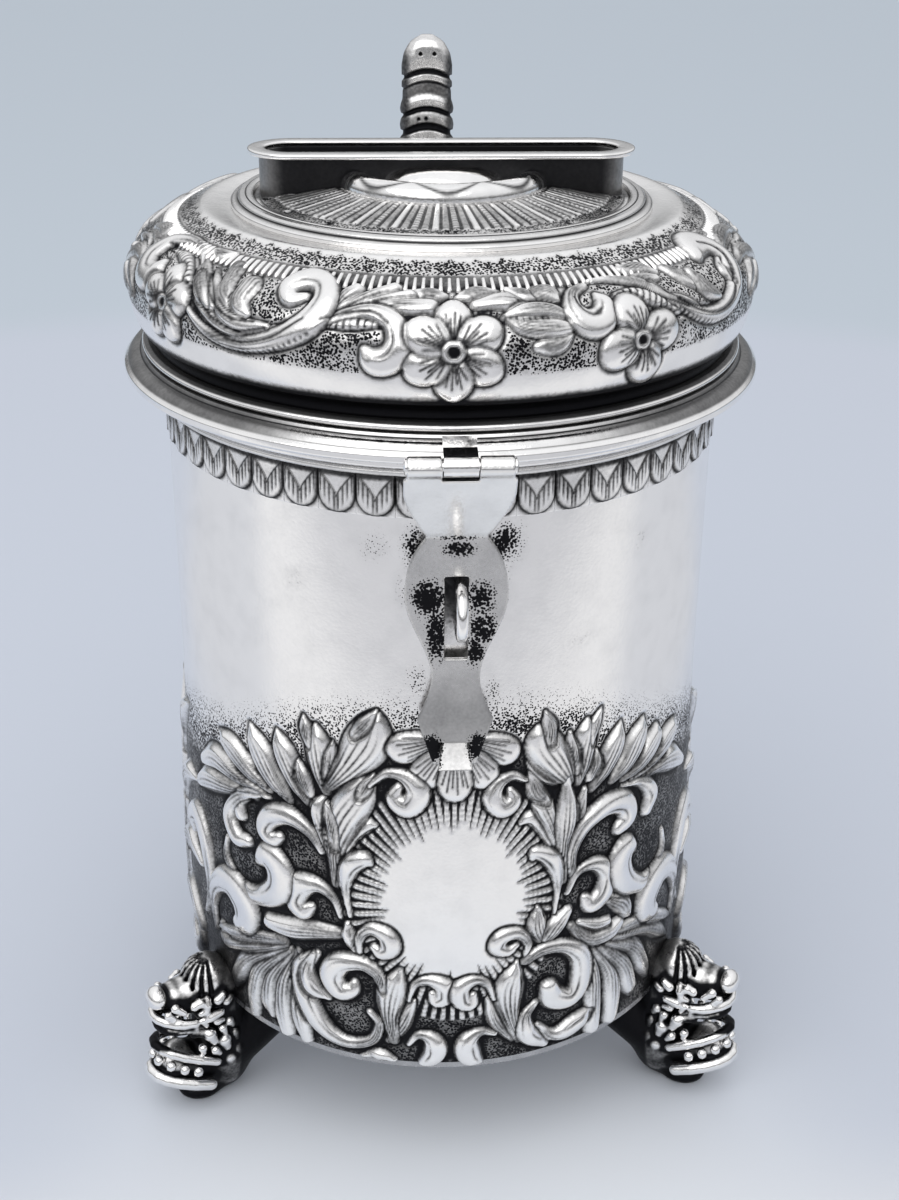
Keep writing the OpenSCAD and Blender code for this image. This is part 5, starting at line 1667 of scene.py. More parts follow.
@dataclass
class Repeats:
    """Node trees that copy a shape round the axis or along a path."""

    trees: dict[str, bpy.types.NodeTree] = field(default_factory=dict)

    @staticmethod
    def start(name: str, inputs: dict[str, str]) -> tuple[Wiring, bpy.types.Node]:
        """Starts a tree.

        Args:
            name: Name of the tree.
            inputs: Names and socket types of its inputs besides the geometry and the finish.

        Returns:
            The tree's wiring and its input node.
        """
        tree = bpy.data.node_groups.new(name, "GeometryNodeTree")
        sockets = {"Geometry": "NodeSocketGeometry", **inputs, "Finish": "NodeSocketMaterial"}
        for label, kind in sockets.items():
            tree.interface.new_socket(label, in_out="INPUT", socket_type=kind)
        tree.interface.new_socket("Geometry", in_out="OUTPUT", socket_type="NodeSocketGeometry")
        return Wiring(tree), tree.nodes.new("NodeGroupInput")

    @staticmethod
    def end(wiring: Wiring, source: bpy.types.Node, inputs: dict[str, Socket]) -> bpy.types.NodeTree:
        """Ends a tree: the copies become real and take their finish.

        Args:
            wiring: The tree's wiring.
            source: Its input node.
            inputs: The seats, the shape and, where it turns, the rotation of the copies.

        Returns:
            The tree.
        """
        copies = wiring.add("GeometryNodeInstanceOnPoints", inputs).outputs["Instances"]
        real = wiring.add("GeometryNodeRealizeInstances", {"Geometry": copies}).outputs["Geometry"]
        dress = {"Geometry": real, "Material": source.outputs["Finish"]}
        dressed = wiring.add("GeometryNodeSetMaterial", dress).outputs["Geometry"]
        wiring.add("NodeGroupOutput", {"Geometry": dressed})
        return wiring.tree

    def ring_tree(self) -> bpy.types.NodeTree:
        """Builds the tree that turns copies of a shape about the axis.

        Returns:
            The tree.
        """
        wiring, source = self.start("ring_of_copies", {"Count": "NodeSocketInt"})
        count = source.outputs["Count"]
        seats = wiring.add("GeometryNodeMeshLine", {"Offset": (0.0, 0.0, 0.0), "Count": count})
        index = wiring.add("GeometryNodeInputIndex").outputs["Index"]
        turn = wiring.sums("MULTIPLY", index, wiring.sums("DIVIDE", 2 * math.pi, count))
        spin = wiring.add("ShaderNodeCombineXYZ", {"Z": turn})
        copies = {"Points": seats.outputs["Mesh"], "Instance": source.outputs["Geometry"]}
        return self.end(wiring, source, {**copies, "Rotation": spin.outputs["Vector"]})

    def bead_tree(self) -> bpy.types.NodeTree:
        """Builds the tree that sets beads along a path.

        Returns:
            The tree.
        """
        sizes = {"Pitch": "NodeSocketFloat", "Radius": "NodeSocketFloat"}
        wiring, source = self.start("beads_on_path", sizes)
        curve = wiring.add("GeometryNodeMeshToCurve", {"Mesh": source.outputs["Geometry"]})
        along = {"Curve": curve.outputs["Curve"], "Length": source.outputs["Pitch"]}
        seats = wiring.add("GeometryNodeResampleCurve", along, mode="LENGTH")
        round_bead = {"Segments": 8, "Rings": 5, "Radius": source.outputs["Radius"]}
        bead = wiring.add("GeometryNodeMeshUVSphere", round_bead)
        soft = wiring.add("GeometryNodeSetShadeSmooth", {"Geometry": bead.outputs["Mesh"]})
        copies = {"Points": seats.outputs["Curve"], "Instance": soft.outputs["Geometry"]}
        return self.end(wiring, source, copies)

    def run(self, build: Callable[[], bpy.types.NodeTree], mesh: bpy.types.Mesh,
            values: dict[str, object]) -> bpy.types.Mesh:
        """Runs a tree on a mesh.

        Args:
            build: Builds the tree when it is first used.
            mesh: The shape or the path that it starts from.
            values: Its inputs by name.

        Returns:
            A plain mesh with the first one's name.
        """
        tree = self.trees.get(build.__name__) or build()
        self.trees[build.__name__] = tree
        worker = linked("worker", mesh)
        modifier = worker.modifiers.new("copies", "NODES")
        modifier.node_group = tree
        for item in tree.interface.items_tree:
            if item.in_out == "INPUT" and item.name in values:
                modifier[item.identifier] = values[item.name]
        graph = bpy.context.evaluated_depsgraph_get()
        made = bpy.data.meshes.new_from_object(worker.evaluated_get(graph), preserve_all_data_layers=True,
                                               depsgraph=graph)
        worker.modifiers.remove(modifier)
        bpy.data.objects.remove(worker)
        name, mesh.name = mesh.name, "template"
        bpy.data.meshes.remove(mesh)
        made.name = name
        return made

    def ring(self, mesh: bpy.types.Mesh, count: int, finish: bpy.types.Material) -> bpy.types.Mesh:
        """Copies a shape round the axis."""
        return self.run(self.ring_tree, mesh, {"Count": count, "Finish": finish})

    def beads(self, name: str, path: np.ndarray, pitch: float, radius: float,
              finish: bpy.types.Material) -> bpy.types.Mesh:
        """Sets beads along a path in millimetres.

        Args:
            name: Name of the mesh.
            path: Points of the path.
            pitch: Distance between beads.
            radius: A bead's radius.
            finish: Their material.

        Returns:
            The beads.
        """
        line = bpy.data.meshes.new(name)
        line.from_pydata([tuple(p * MM) for p in path], [(k, k + 1) for k in range(len(path) - 1)], [])
        return self.run(self.bead_tree, line, {"Pitch": pitch * MM, "Radius": radius * MM, "Finish": finish})


@dataclass
class ScallopBorder:
    """The engraved row of tongues under the mouth."""

    radius: float = WALL_RADIUS
    low: float = 115.1
    high: float = 121.4
    count: int = 48

    def tongue(self) -> Shell:
        """Makes one tongue with its engraved lines and a painted shadow along its top, at the front.

        Returns:
            The tongue.
        """
        half = math.pi / self.count
        t, s = np.meshgrid(np.linspace(-1.0, 1.0, 33), np.linspace(0.0, 1.0, 35))
        wide, tall = half * self.radius, self.high - self.low
        x, y = t * wide, s * tall
        arch = np.where(y < wide, np.hypot(x, y - wide) - wide * 0.97, np.abs(x) - wide * 0.97)
        vee = tall * (0.4 + 0.6 * (np.abs(x) / wide) ** 0.8)
        below = smooth(0.1, -0.1, y - vee)
        inside = smooth(0.0, -0.2, arch)
        nib = 0.13 + 0.13 * smooth(vee - 2.6, vee - 0.4, y)
        hatch = np.maximum.reduce([np.exp(-((np.abs(x) - p * wide) / nib) ** 2)
                                   for p in (0.1, 0.36, 0.6, 0.83)])
        hatch *= smooth(vee - 3.4, vee - 2.2, y) * below * inside
        lift = 0.03 + 0.26 * inside * below + 0.08 * inside - 0.1 * hatch
        dark = np.maximum.reduce([
            np.exp(-(arch / 0.36) ** 2), 0.95 * np.exp(-((y - vee) / 0.3) ** 2) * inside, 0.97 * hatch,
            # The last term is a painted shadow along the top, under the mouth moulding
            0.15 * (1 - below) * inside, 0.95 * smooth(tall - 1.3, tall - 0.6, y)])
        r = self.radius + lift * band((0.0, 0.04), (1.0, 0.96), s) - 0.01
        top = polar(r, t * half, self.low + y).reshape(-1, 3)
        low = polar(self.radius - 0.3, t * half, self.low + y).reshape(-1, 3)
        ring = edge_ring(*t.shape)
        floor = len(top) + np.arange(len(ring))
        rim = np.stack([ring, floor, np.roll(floor, -1), np.roll(ring, -1)], 1)
        return Shell(np.vstack([top, low[ring]]), np.vstack([grid_quads(*t.shape), rim]), [floor[::-1]],
                     np.concatenate([dark.ravel(), np.zeros(len(ring))]))

    def build(self, studio: Studio, repeats: Repeats) -> None:
        """Sets the tongues round the wall."""
        border = repeats.ring(self.tongue().mesh("scallop_border"), self.count, studio.material(Slot.CHASED))
        studio.enter(border, Body.BOX, Slot.CHASED)


@dataclass
class Rings:
    """The turned mouldings of box and lid."""

    mouth: float = 121.8
    flange: float = 125.3
    bead: float = 128.7
    step: float = CROWN_FOOT
    gather: float = 11.0

    def outlines(self) -> list[tuple[str, str, Body, float, np.ndarray]]:
        """Gives each ring's piece name, CAD node, body, oxide all over and rounded outline.

        Returns:
            One entry for each ring.
        """
        m, f, b, s = self.mouth, self.flange, self.bead, self.step
        mouth = [(43.05, m), (44.38, m), (44.7, m + .32), (44.7, m + .77), (44.25, m + 1.09),
                 (44.25, m + 1.41), (45.18, m + 1.41), (45.5, m + 1.73), (45.5, m + 2.88),
                 (45.18, m + 3.2), (43.05, m + 3.2)]
        ogee = bezier((48.5, f + 1.7), (47.9, f + 2.55), (47.5, f + 2.72), (46.5, f + 2.92), 8)
        flange = [(40.4, f), (48.8, f), (49.1, f + .4), (49.1, f + 1.22), (48.5, f + 1.7), *ogee,
                  (46.3, f + 3.4), (42.4, f + 3.4), (42.4, f + 1.0), (40.4, f + 1.0)]
        swell = bezier((45.8, b + .225), (46.4, b + .525), (46.4, b + .975), (45.8, b + 1.275), 8)
        bead = [(43, b), (45.4, b), (45.8, b + .225), *swell, (45.4, b + 1.5), (43, b + 1.5)]
        step = [(28.45, s), (31.85, s), (31.85, s + .63), (31.51, s + .9), (30.72, s + .99),
                (30.72, s + 1.35), (30.38, s + 1.62), (29.58, s + 1.62), (29.36, s + 1.8),
                (28.79, s + 1.8), (28.45, s + 1.62)]
        return [("mouth_moulding", "mouth_band", Body.BOX, 0.2, fillet(mouth, 0.16, 3)),
                ("lid_flange_moulding", "lid_flange", Body.LID, 0.03, fillet(flange, 0.16, 3)),
                ("lid_bead_moulding", "lid_bead", Body.LID, 0.86, fillet(bead, 0.12, 3)),
                ("crown_step_moulding", "step_ring", Body.LID, 0.2, fillet(step, 0.14, 3))]

    def build(self, studio: Studio) -> None:
        """Turns the rings, with oxide in their inner corners and painted shade on the flange's slope away
        from the front.

        Args:
            studio: Gives the finishes and enters the pieces.
        """
        for name, node, body, tone, outline in self.outlines():
            ring = revolve(outline)
            way = np.roll(outline, -1, 0) - np.roll(outline, 1, 0)
            area = np.sum(outline[:, 0] * way[:, 1] - outline[:, 1] * way[:, 0])
            out = np.stack([way[:, 1], -way[:, 0]], 1) * np.sign(area)
            out /= np.linalg.norm(way, axis=1, keepdims=True) + 1e-9
            mean = (np.roll(outline, 4, 0) + np.roll(outline, -4, 0)) / 2
            hollow = np.clip(np.sum((mean - outline) * out, 1) * self.gather, 0.0, 1.0)
            widest = outline[:, 0].max()
            ridge = smooth(widest - 0.35, widest - 0.1, outline[:, 0])
            ring.tarnish = np.repeat(np.maximum(0.97 * hollow, tone * (1.0 - 0.9 * ridge)), RING_STEPS)
            if node == "lid_flange":
                # Painted shade on the flange's outer slope, growing away from the front
                x, y, z = ring.points.T
                away = smooth(12.0, 40.0, np.degrees(np.abs(np.arctan2(x, -y))))
                slope = smooth(48.7, 48.4, np.hypot(x, y)) * (z > self.flange + 1.6)
                ring.tarnish = np.maximum(ring.tarnish, 0.78 * away * slope)
            studio.enter(ring.mesh(name, 50), body, Slot.POLISHED, node)


# Curls on a foot's side: distance from the axis and height of both ends, and thickness
FOOT_CURLS: tuple[tuple[tuple[float, float], tuple[float, float], float], ...] = (
    ((52.8, 20.0), (50.9, 18.3), .65), ((54.0, 18.8), (52.6, 17.4), .6),
    ((52.4, 16.8), (50.4, 15.3), .75), ((49.6, 19.4), (48.6, 20.0), .65), ((48.6, 20.0), (47.3, 19.2), .7),
    ((47.3, 19.2), (47.5, 18.0), .65), ((47.5, 18.0), (48.7, 17.6), .6), ((47.4, 16.6), (44.6, 16.9), .8),
    ((48.3, 16.4), (47.6, 14.8), .55), ((46.0, 15.3), (44.6, 15.1), .6), ((43.6, 14.4), (42.9, 13.2), .65),
    ((50.2, 14.1), (47.4, 13.3), .7), ((47.4, 13.3), (46.4, 11.2), .95), ((45.0, 13.6), (44.3, 12.0), .65),
    ((44.8, 11.2), (44.2, 9.1), 1.05), ((46.6, 9.6), (45.6, 8.4), .7), ((48.6, 10.6), (48.4, 9.4), .65),
    ((42.6, 11.8), (42.3, 10.2), .65), ((43.9, 7.0), (43.4, 5.4), .85), ((42.2, 8.4), (41.8, 6.6), .85),
    ((45.6, 19.4), (44.2, 20.4), .7), ((44.0, 18.6), (43.0, 19.2), .65),
)


@dataclass
class Foot:
    """One cast foot: a beast's mouth under a shell, modelled facing the front and then turned."""

    # Lips and jaws: ends, middle, half width, radius, lift of the middle, and softness of the joint
    bows: tuple[tuple[tuple[float, float], float, float, float, float, float], ...] = (
        ((51.0, 18.2), 56.6, 4.4, 0.85, 1.0, 0.2), ((51.0, 17.3), 56.0, 4.3, 0.75, -0.4, 0.15),
        ((47.6, 9.0), 56.8, 5.0, 0.85, 4.2, 0.3), ((49.0, 4.8), 57.6, 5.1, 1.1, 3.0, 0.5))
    # Distance from the axis, and half the foot's width there
    cheeks: tuple[tuple[float, float], ...] = ((43.0, 4.8), (48.0, 5.0), (52.0, 4.2), (56.0, 3.0))
    curl_shift: tuple[float, float] = (1.6, 2.2)
    bead_pitch: float = 2.3
    bead_radius: float = 0.95

    @staticmethod
    def bow(clay: Clay, start: tuple[float, float], tip: float, half: float, thick: float,
            lift: float) -> np.ndarray:
        """Measures to a bar bent round the snout.

        Args:
            clay: The grid.
            start: Distance from the axis and height where the bar's ends lie.
            tip: Distance from the axis of its middle.
            half: Half its width across the foot.
            thick: Its radius.
            lift: How much higher its middle lies.

        Returns:
            The distance field.
        """
        turn = np.radians(np.linspace(-88, 88, 11))
        knots = np.stack([half * np.sin(turn), -(start[0] + (tip - start[0]) * np.cos(turn)),
                          start[1] + lift * np.cos(turn)], 1)
        return np.minimum.reduce([clay.rod(a, b, thick) for a, b in zip(knots, knots[1:])])

    def shell(self) -> Shell:
        """Models the foot facing the front.

        Returns:
            The foot.
        """
        clay = Clay((-9.0, -60.2, -0.9), (9.0, -29.6, 30.0), 0.25)
        clay.add(clay.rod((0, -44.6, 6.0), (0, -45.2, 22.0), 5.0, 4.6))
        # A leg under the base, which the painted shade below turns black
        clay.add(clay.rod((0, -44.5, 8.5), (0, -36.2, 12.6), 5.8, 5.4), 1.0)
        clay.add(clay.rod((0, -45.0, 4.2), (0, -53.2, 8.4), 4.2, 3.6), 1.0)
        clay.add(clay.ball((0, -48.8, 1.5), (3.6, 4.2, 2.2)), 0.8)
        clay.add(clay.rod((0, -45.5, 21.4), (0, -52.8, 21.4), 4.4, 3.1), 1.2)
        clay.cut(clay.ball((0, -57.4, 15.4), (9.5, 8.4, 2.2)), 0.6, 1.0)
        clay.add(clay.ball((0, -46.8, 23.4), (4.3, 4.3, 4.2)), 0.3)
        for turn in np.radians((-77, -55, -33, -11, 11, 33, 55, 77)):
            c, s = math.cos(turn), math.sin(turn)
            crest, shoulder = (0.8 * s, -46.6 - 0.8 * c, 27.6), (3.4 * s, -46.8 - 3.4 * c, 26.0)
            rim = (4.4 * s, -46.8 - 4.4 * c, 22.8)
            flute = np.minimum(clay.rod(crest, shoulder, 0.15, 0.3), clay.rod(shoulder, rim, 0.3, 0.4))
            clay.cut(flute, 0.15, 1.0)
        for turn in np.radians((-66, -44, -22, 0, 22, 44, 66)):
            seat = (4.7 * math.sin(turn), -46.9 - 4.6 * math.cos(turn), 22.1)
            clay.add(clay.ball(seat, (0.8, 0.8, 0.75)), 0.15)
        clay.add(clay.ball((0, -55.9, 22.7), (2.4, 1.8, 2.0)), 0.5)
        for *bar, blend in self.bows:
            clay.add(self.bow(clay, *bar), blend)
        for hand in (-1.0, 1.0):
            for first, last, thick in FOOT_CURLS:
                middle = (np.array(first) + last) / 2
                spots = [middle + (np.array(end) - middle) * 0.72 for end in (first, last)]
                ends = [(hand * np.interp(r, *zip(*self.cheeks)), -r, z)
                        for r, z in (spot + self.curl_shift for spot in spots)]
                clay.add(clay.rod(*ends, 1.25 * thick, 0.85 * thick), 0.35)
            clay.cut(clay.ball((hand * 2.4, -55.2, 20.8), (0.9, 1.2, 0.6)), 0.2, 1.0)
        clay.field = np.maximum(clay.field, -clay.z)
        made = clay.shell(0.4, 0.1, 4)
        _, y, z = made.points.T
        # Painted shade blackens the foot's lowest part and its side toward the wall
        shade_toward_wall = smooth(-46.0, -43.5, y) * (z < 22.5)
        made.tarnish = np.maximum.reduce([made.tarnish, smooth(3.6, 2.2, z), shade_toward_wall])
        return made

    def beads(self) -> np.ndarray:
        """Gives the line of the jaw's bead row, facing the front."""
        turn = np.radians(np.linspace(-66, 66, 24))
        return np.stack([5.5 * np.sin(turn), -(47.6 + 9.4 * np.cos(turn)), 7.0 + 3.6 * np.cos(turn)], 1)

    def build(self, studio: Studio, repeats: Repeats) -> None:
        """Casts the foot three times and sets the bead rows.

        Args:
            studio: Gives the finishes and enters the pieces.
            repeats: Makes the repeated shapes.
        """
        cast, row = self.shell(), self.beads()
        for side, turn in FOOT_TURNS.items():
            studio.enter(cast.turned(turn).mesh(f"foot_{side}_cast"), Body.BOX, Slot.CAST, f"foot_{side}")
            line = Shell(row, np.zeros((0, 4), int)).turned(turn).points
            beads = repeats.beads(f"foot_{side}_beads", line, self.bead_pitch, self.bead_radius,
                                  studio.material(Slot.CAST))
            studio.enter(beads, Body.BOX, Slot.CAST)


@dataclass
class Thumbpiece:
    """The cast lever behind the lid, a stack of swellings and bands."""

    middle: float = 50.9
    bottom: float = 129.55
    top: float = 166.9
    bow: float = 0.075
    dimples: tuple[tuple[float, float], ...] = ((-1.2, 163.9), (1.2, 163.9), (-1.5, 152.8), (-0.2, 152.9))
    # Height and half the flat's width up the column, then height and radius, then height and oxide
    flats: tuple[tuple[float, float], ...] = (
        (129.0, 3.1), (149.0, 2.9), (160.0, 2.6), (163.5, 2.2), (166.0, 1.4), (166.9, 0.6))
    swells: tuple[tuple[float, float], ...] = (
        (129.0, 2.0), (134.0, 2.1), (135.0, 1.5), (136.0, 2.0), (141.2, 2.1), (142.2, 1.5), (143.2, 1.9),
        (147.4, 2.0), (148.4, 1.5), (149.4, 1.9), (150.8, 2.0), (151.2, 1.35), (151.9, 1.35), (152.3, 1.8),
        (153.3, 1.95), (154.1, 1.8), (154.4, 1.35), (154.8, 1.4), (155.1, 1.8), (156.1, 2.0), (156.9, 1.8),
        (157.3, 1.6), (158.8, 1.6), (159.1, 1.4), (159.5, 1.8), (160.4, 1.8), (160.7, 1.4), (161.2, 1.4),
        (161.6, 1.85), (163.2, 2.05), (165.2, 1.9), (166.2, 1.5), (166.9, 0.4))
    stains: tuple[tuple[float, float], ...] = (
        (129.0, 0.3), (134.2, 0.25), (134.7, 1.0), (135.4, 1.0), (136.0, 0.25), (141.4, 0.25), (141.9, 1.0),
        (142.6, 1.0), (143.2, 0.25), (147.8, 0.25), (148.1, 1.0), (148.7, 1.0), (149.2, 0.2), (150.7, 0.2),
        (151.0, 1.0), (152.0, 1.0), (152.4, 0.45), (153.9, 0.3), (154.2, 1.0), (154.9, 1.0), (155.2, 0.2),
        (156.8, 0.2), (157.2, 0.85), (158.7, 0.8), (159.0, 1.0), (159.3, 0.9), (159.6, 0.05), (160.3, 0.1),
        (160.6, 1.0), (161.2, 1.0), (161.6, 0.2), (166.9, 0.15))

    def shell(self) -> Shell:
        """Models the lever as a flattened column whose swellings bow up in the middle.

        Returns:
            The lever.
        """
        clay = Clay((-5.4, 47.6, self.bottom - 0.6), (5.4, 54.2, self.top + 0.9), 0.2)
        flat = np.interp(clay.z, *zip(*self.flats))
        radius = np.interp(clay.z + self.bow * clay.x ** 2, *zip(*self.swells))
        out = np.hypot(np.maximum(np.abs(clay.x) - flat, 0.0), 0.85 * (clay.y - self.middle))
        clay.add((out - radius).astype(np.float32))
        for x, z in self.dimples:
            clay.cut(clay.ball((x, self.middle - 2.3, z), (0.32, 0.6, 0.32)), 0.1, 0.9)
        clay.field = np.maximum(clay.field, np.maximum(self.bottom - clay.z, clay.z - self.top))
        made = clay.shell(0.46, 0.14, 4)
        level = made.points[:, 2] + self.bow * made.points[:, 0] ** 2
        side = smooth(2.2, 3.8, np.abs(made.points[:, 0]))
        made.tarnish = np.maximum.reduce([made.tarnish, np.interp(level, *zip(*self.stains)),
                                          0.9 * side * smooth(166.5, 162.5, made.points[:, 2])])
        return made

    def build(self, studio: Studio) -> None:
        """Models the lever and enters it."""
        studio.enter(self.shell().mesh("thumbpiece_cast"), Body.LID, Slot.CAST, "thumbpiece")


@dataclass
class Hasp:
    """The hinged plate with its slot, and the staple that comes through it."""

    axis_y: float = -50.9
    axis_z: float = 126.0
    knuckle: float = 1.45
    half: float = 7.1
    thick: float = 0.9
    bend_z: float = 113.4
    face_top: float = -52.35
    face_low: float = -45.3
    fold_z: float = 80.94
    tip_z: float = 77.2
    strap_half: float = 2.5
    strap_z: float = 123.95
    # Half width, middle height and half height
    slot: tuple[float, float, float] = (1.65, 100.95, 6.4)
    # Height and darkness up the plate, part oxide and part painted shade greying it below the bend, then
    # stains: x, z, half width, half height and strength
    tones: tuple[tuple[float, float], ...] = (
        (77.0, 0.3), (80.6, 0.5), (84.0, 0.58), (90.0, 0.48), (93.0, 0.36), (104.0, 0.35), (112.0, 0.38),
        (113.4, 0.34), (114.6, 0.1), (126.0, 0.08))
    spots: tuple[tuple[float, float, float, float, float], ...] = (
        (-3.9, 104.2, 2.7, 3.2, 1.2), (-2.8, 98.8, 1.7, 5.4, 1.15), (3.4, 104.2, 2.4, 3.0, 1.0),
        (3.8, 99.4, 2.3, 3.0, 1.15), (2.6, 95.8, 1.6, 2.6, 1.1), (0.4, 111.7, 2.8, 1.3, 1.05),
        (-3.4, 80.0, 1.8, 2.6, 1.25), (3.4, 80.2, 1.8, 2.5, 1.25), (0.0, 113.4, 3.6, 0.5, 0.9))
    wire: float = 0.85
    wire_bow: float = 3.15
    wire_bend: tuple[float, float, float] = (0.45, -48.5, 103.2)
    wire_root: float = -42.3

    def outline(self) -> np.ndarray:
        """Gives half the plate's outline from its tip to its top, as half width and height.

        Returns:
            The outline.
        """
        ease = np.linspace(0.0, 1.0, 12)[1:, None]
        neck = np.hstack([3.5 + 3.8 * (1 - np.cos(math.pi * ease)) / 2, 91.4 + 13.1 * ease])
        return np.vstack([
            [(3.2, 77.2), (5.55, 84.7)], bezier((5.55, 84.7), (4.85, 86.2), (3.5, 88.9), (3.5, 91.4)), neck,
            bezier((7.3, 104.5), (7.3, 109), (5.9, 111.4), (4.3, 113.4)),
            bezier((4.3, 113.4), (5.3, 115.29), (7.2, 118.44), (7.6, 121.59)),
            [(7.6, 124.15), (7.1, 124.55), (7.1, 127.0)]])

    def lean(self, z: np.ndarray) -> np.ndarray:
        """Gives how far the plate leans toward the hinge at a height."""
        return np.interp(z, (self.bend_z, self.axis_z), (0.0, self.face_top - self.face_low))

    def shell(self) -> Shell:
        """Models the plate upright and then leans its upper part out to the hinge.

        Returns:
            The plate with its knuckles.
        """
        clay = Clay((-8.4, -3.6, 76.4), (8.4, 4.2, 128.4), 0.22)
        shape = self.outline()
        wide = np.interp(clay.z, shape[:, 1], shape[:, 0]).astype(np.float32)
        slope = np.abs(np.gradient(wide, clay.step, axis=2))
        side = (np.abs(clay.x) - wide) / np.sqrt(1.0 + slope ** 2)
        deep = np.abs(clay.y - self.thick / 2) - self.thick / 2
        sheet = np.maximum(np.maximum(side, deep), np.maximum(self.tip_z - clay.z, clay.z - self.axis_z))
        sheet = sheet + np.maximum(0.3 - np.abs(side - deep), 0) ** 2 / 1.2
        clay.add(sheet)
        slot_half, slot_middle, slot_tall = self.slot
        slot = np.maximum(np.abs(clay.x) - slot_half, np.abs(clay.z - slot_middle) - slot_tall)
        clay.cut(np.maximum(slot, np.abs(clay.y) - 3.0), 0.15)
        clay.cut(np.maximum(np.abs(clay.x) - 2.15, clay.z - self.fold_z))
        below = self.fold_z - clay.z
        tab = np.maximum(np.abs(clay.x) - 1.75 - 0.25 * np.maximum(below, 0.0),
                         np.abs(clay.y + 0.8 * below - self.thick / 2) - self.thick / 2)
        clay.add(np.maximum(tab, np.abs(below - 1.5) - 1.8), 0.2)
        clay.cut(np.maximum(np.abs(clay.x) - self.strap_half, self.strap_z - clay.z))
        away = clay.y + self.face_low + self.lean(clay.z) - self.axis_y
        barrel = np.hypot(away, clay.z - self.axis_z) - self.knuckle
        ends = np.abs(np.abs(clay.x) - (self.half + self.strap_half) / 2) - (self.half - self.strap_half) / 2
        clay.add(np.maximum(barrel, ends), 0.3)
        made = clay.shell(0.52, 0.2, 3)
        x, _, z = made.points.T
        # Darkness up the plate: oxide, with painted shade greying the part below the bend
        made.tarnish = np.maximum(made.tarnish, np.interp(z, *zip(*self.tones)))
        made.stipple = np.zeros(len(x))
        for cx, cz, wx, wz, tone in self.spots:
            blot = tone * np.exp(-(((x - cx) / wx) ** 2 + ((z - cz) / wz) ** 2) ** 1.5)
            made.stipple = np.maximum(made.stipple, blot)
        made.points[:, 1] += self.face_low + self.lean(z)
        return made

    def staple(self) -> Shell:
        """Bends the wire of the staple.

        Returns:
            The staple.
        """
        turn = np.radians(np.linspace(90, -90, 17))
        x, y, z = self.wire_bend
        bow = np.stack([np.full(len(turn), x), y - self.wire_bow * np.cos(turn),
                        z + self.wire_bow * np.sin(turn)], 1)
        path = np.vstack([[(x, self.wire_root, z + self.wire_bow)], bow,
                          [(x, self.wire_root, z - self.wire_bow)]])
        return tube(path, np.full(len(path), self.wire), 16)

    def build(self, studio: Studio) -> None:
        """Makes and enters the hasp and the staple."""
        studio.enter(self.shell().mesh("hasp_plate"), Body.HASP, Slot.POLISHED, "hasp")
        studio.enter(self.staple().mesh("staple_wire"), Body.BOX, Slot.POLISHED, "staple")


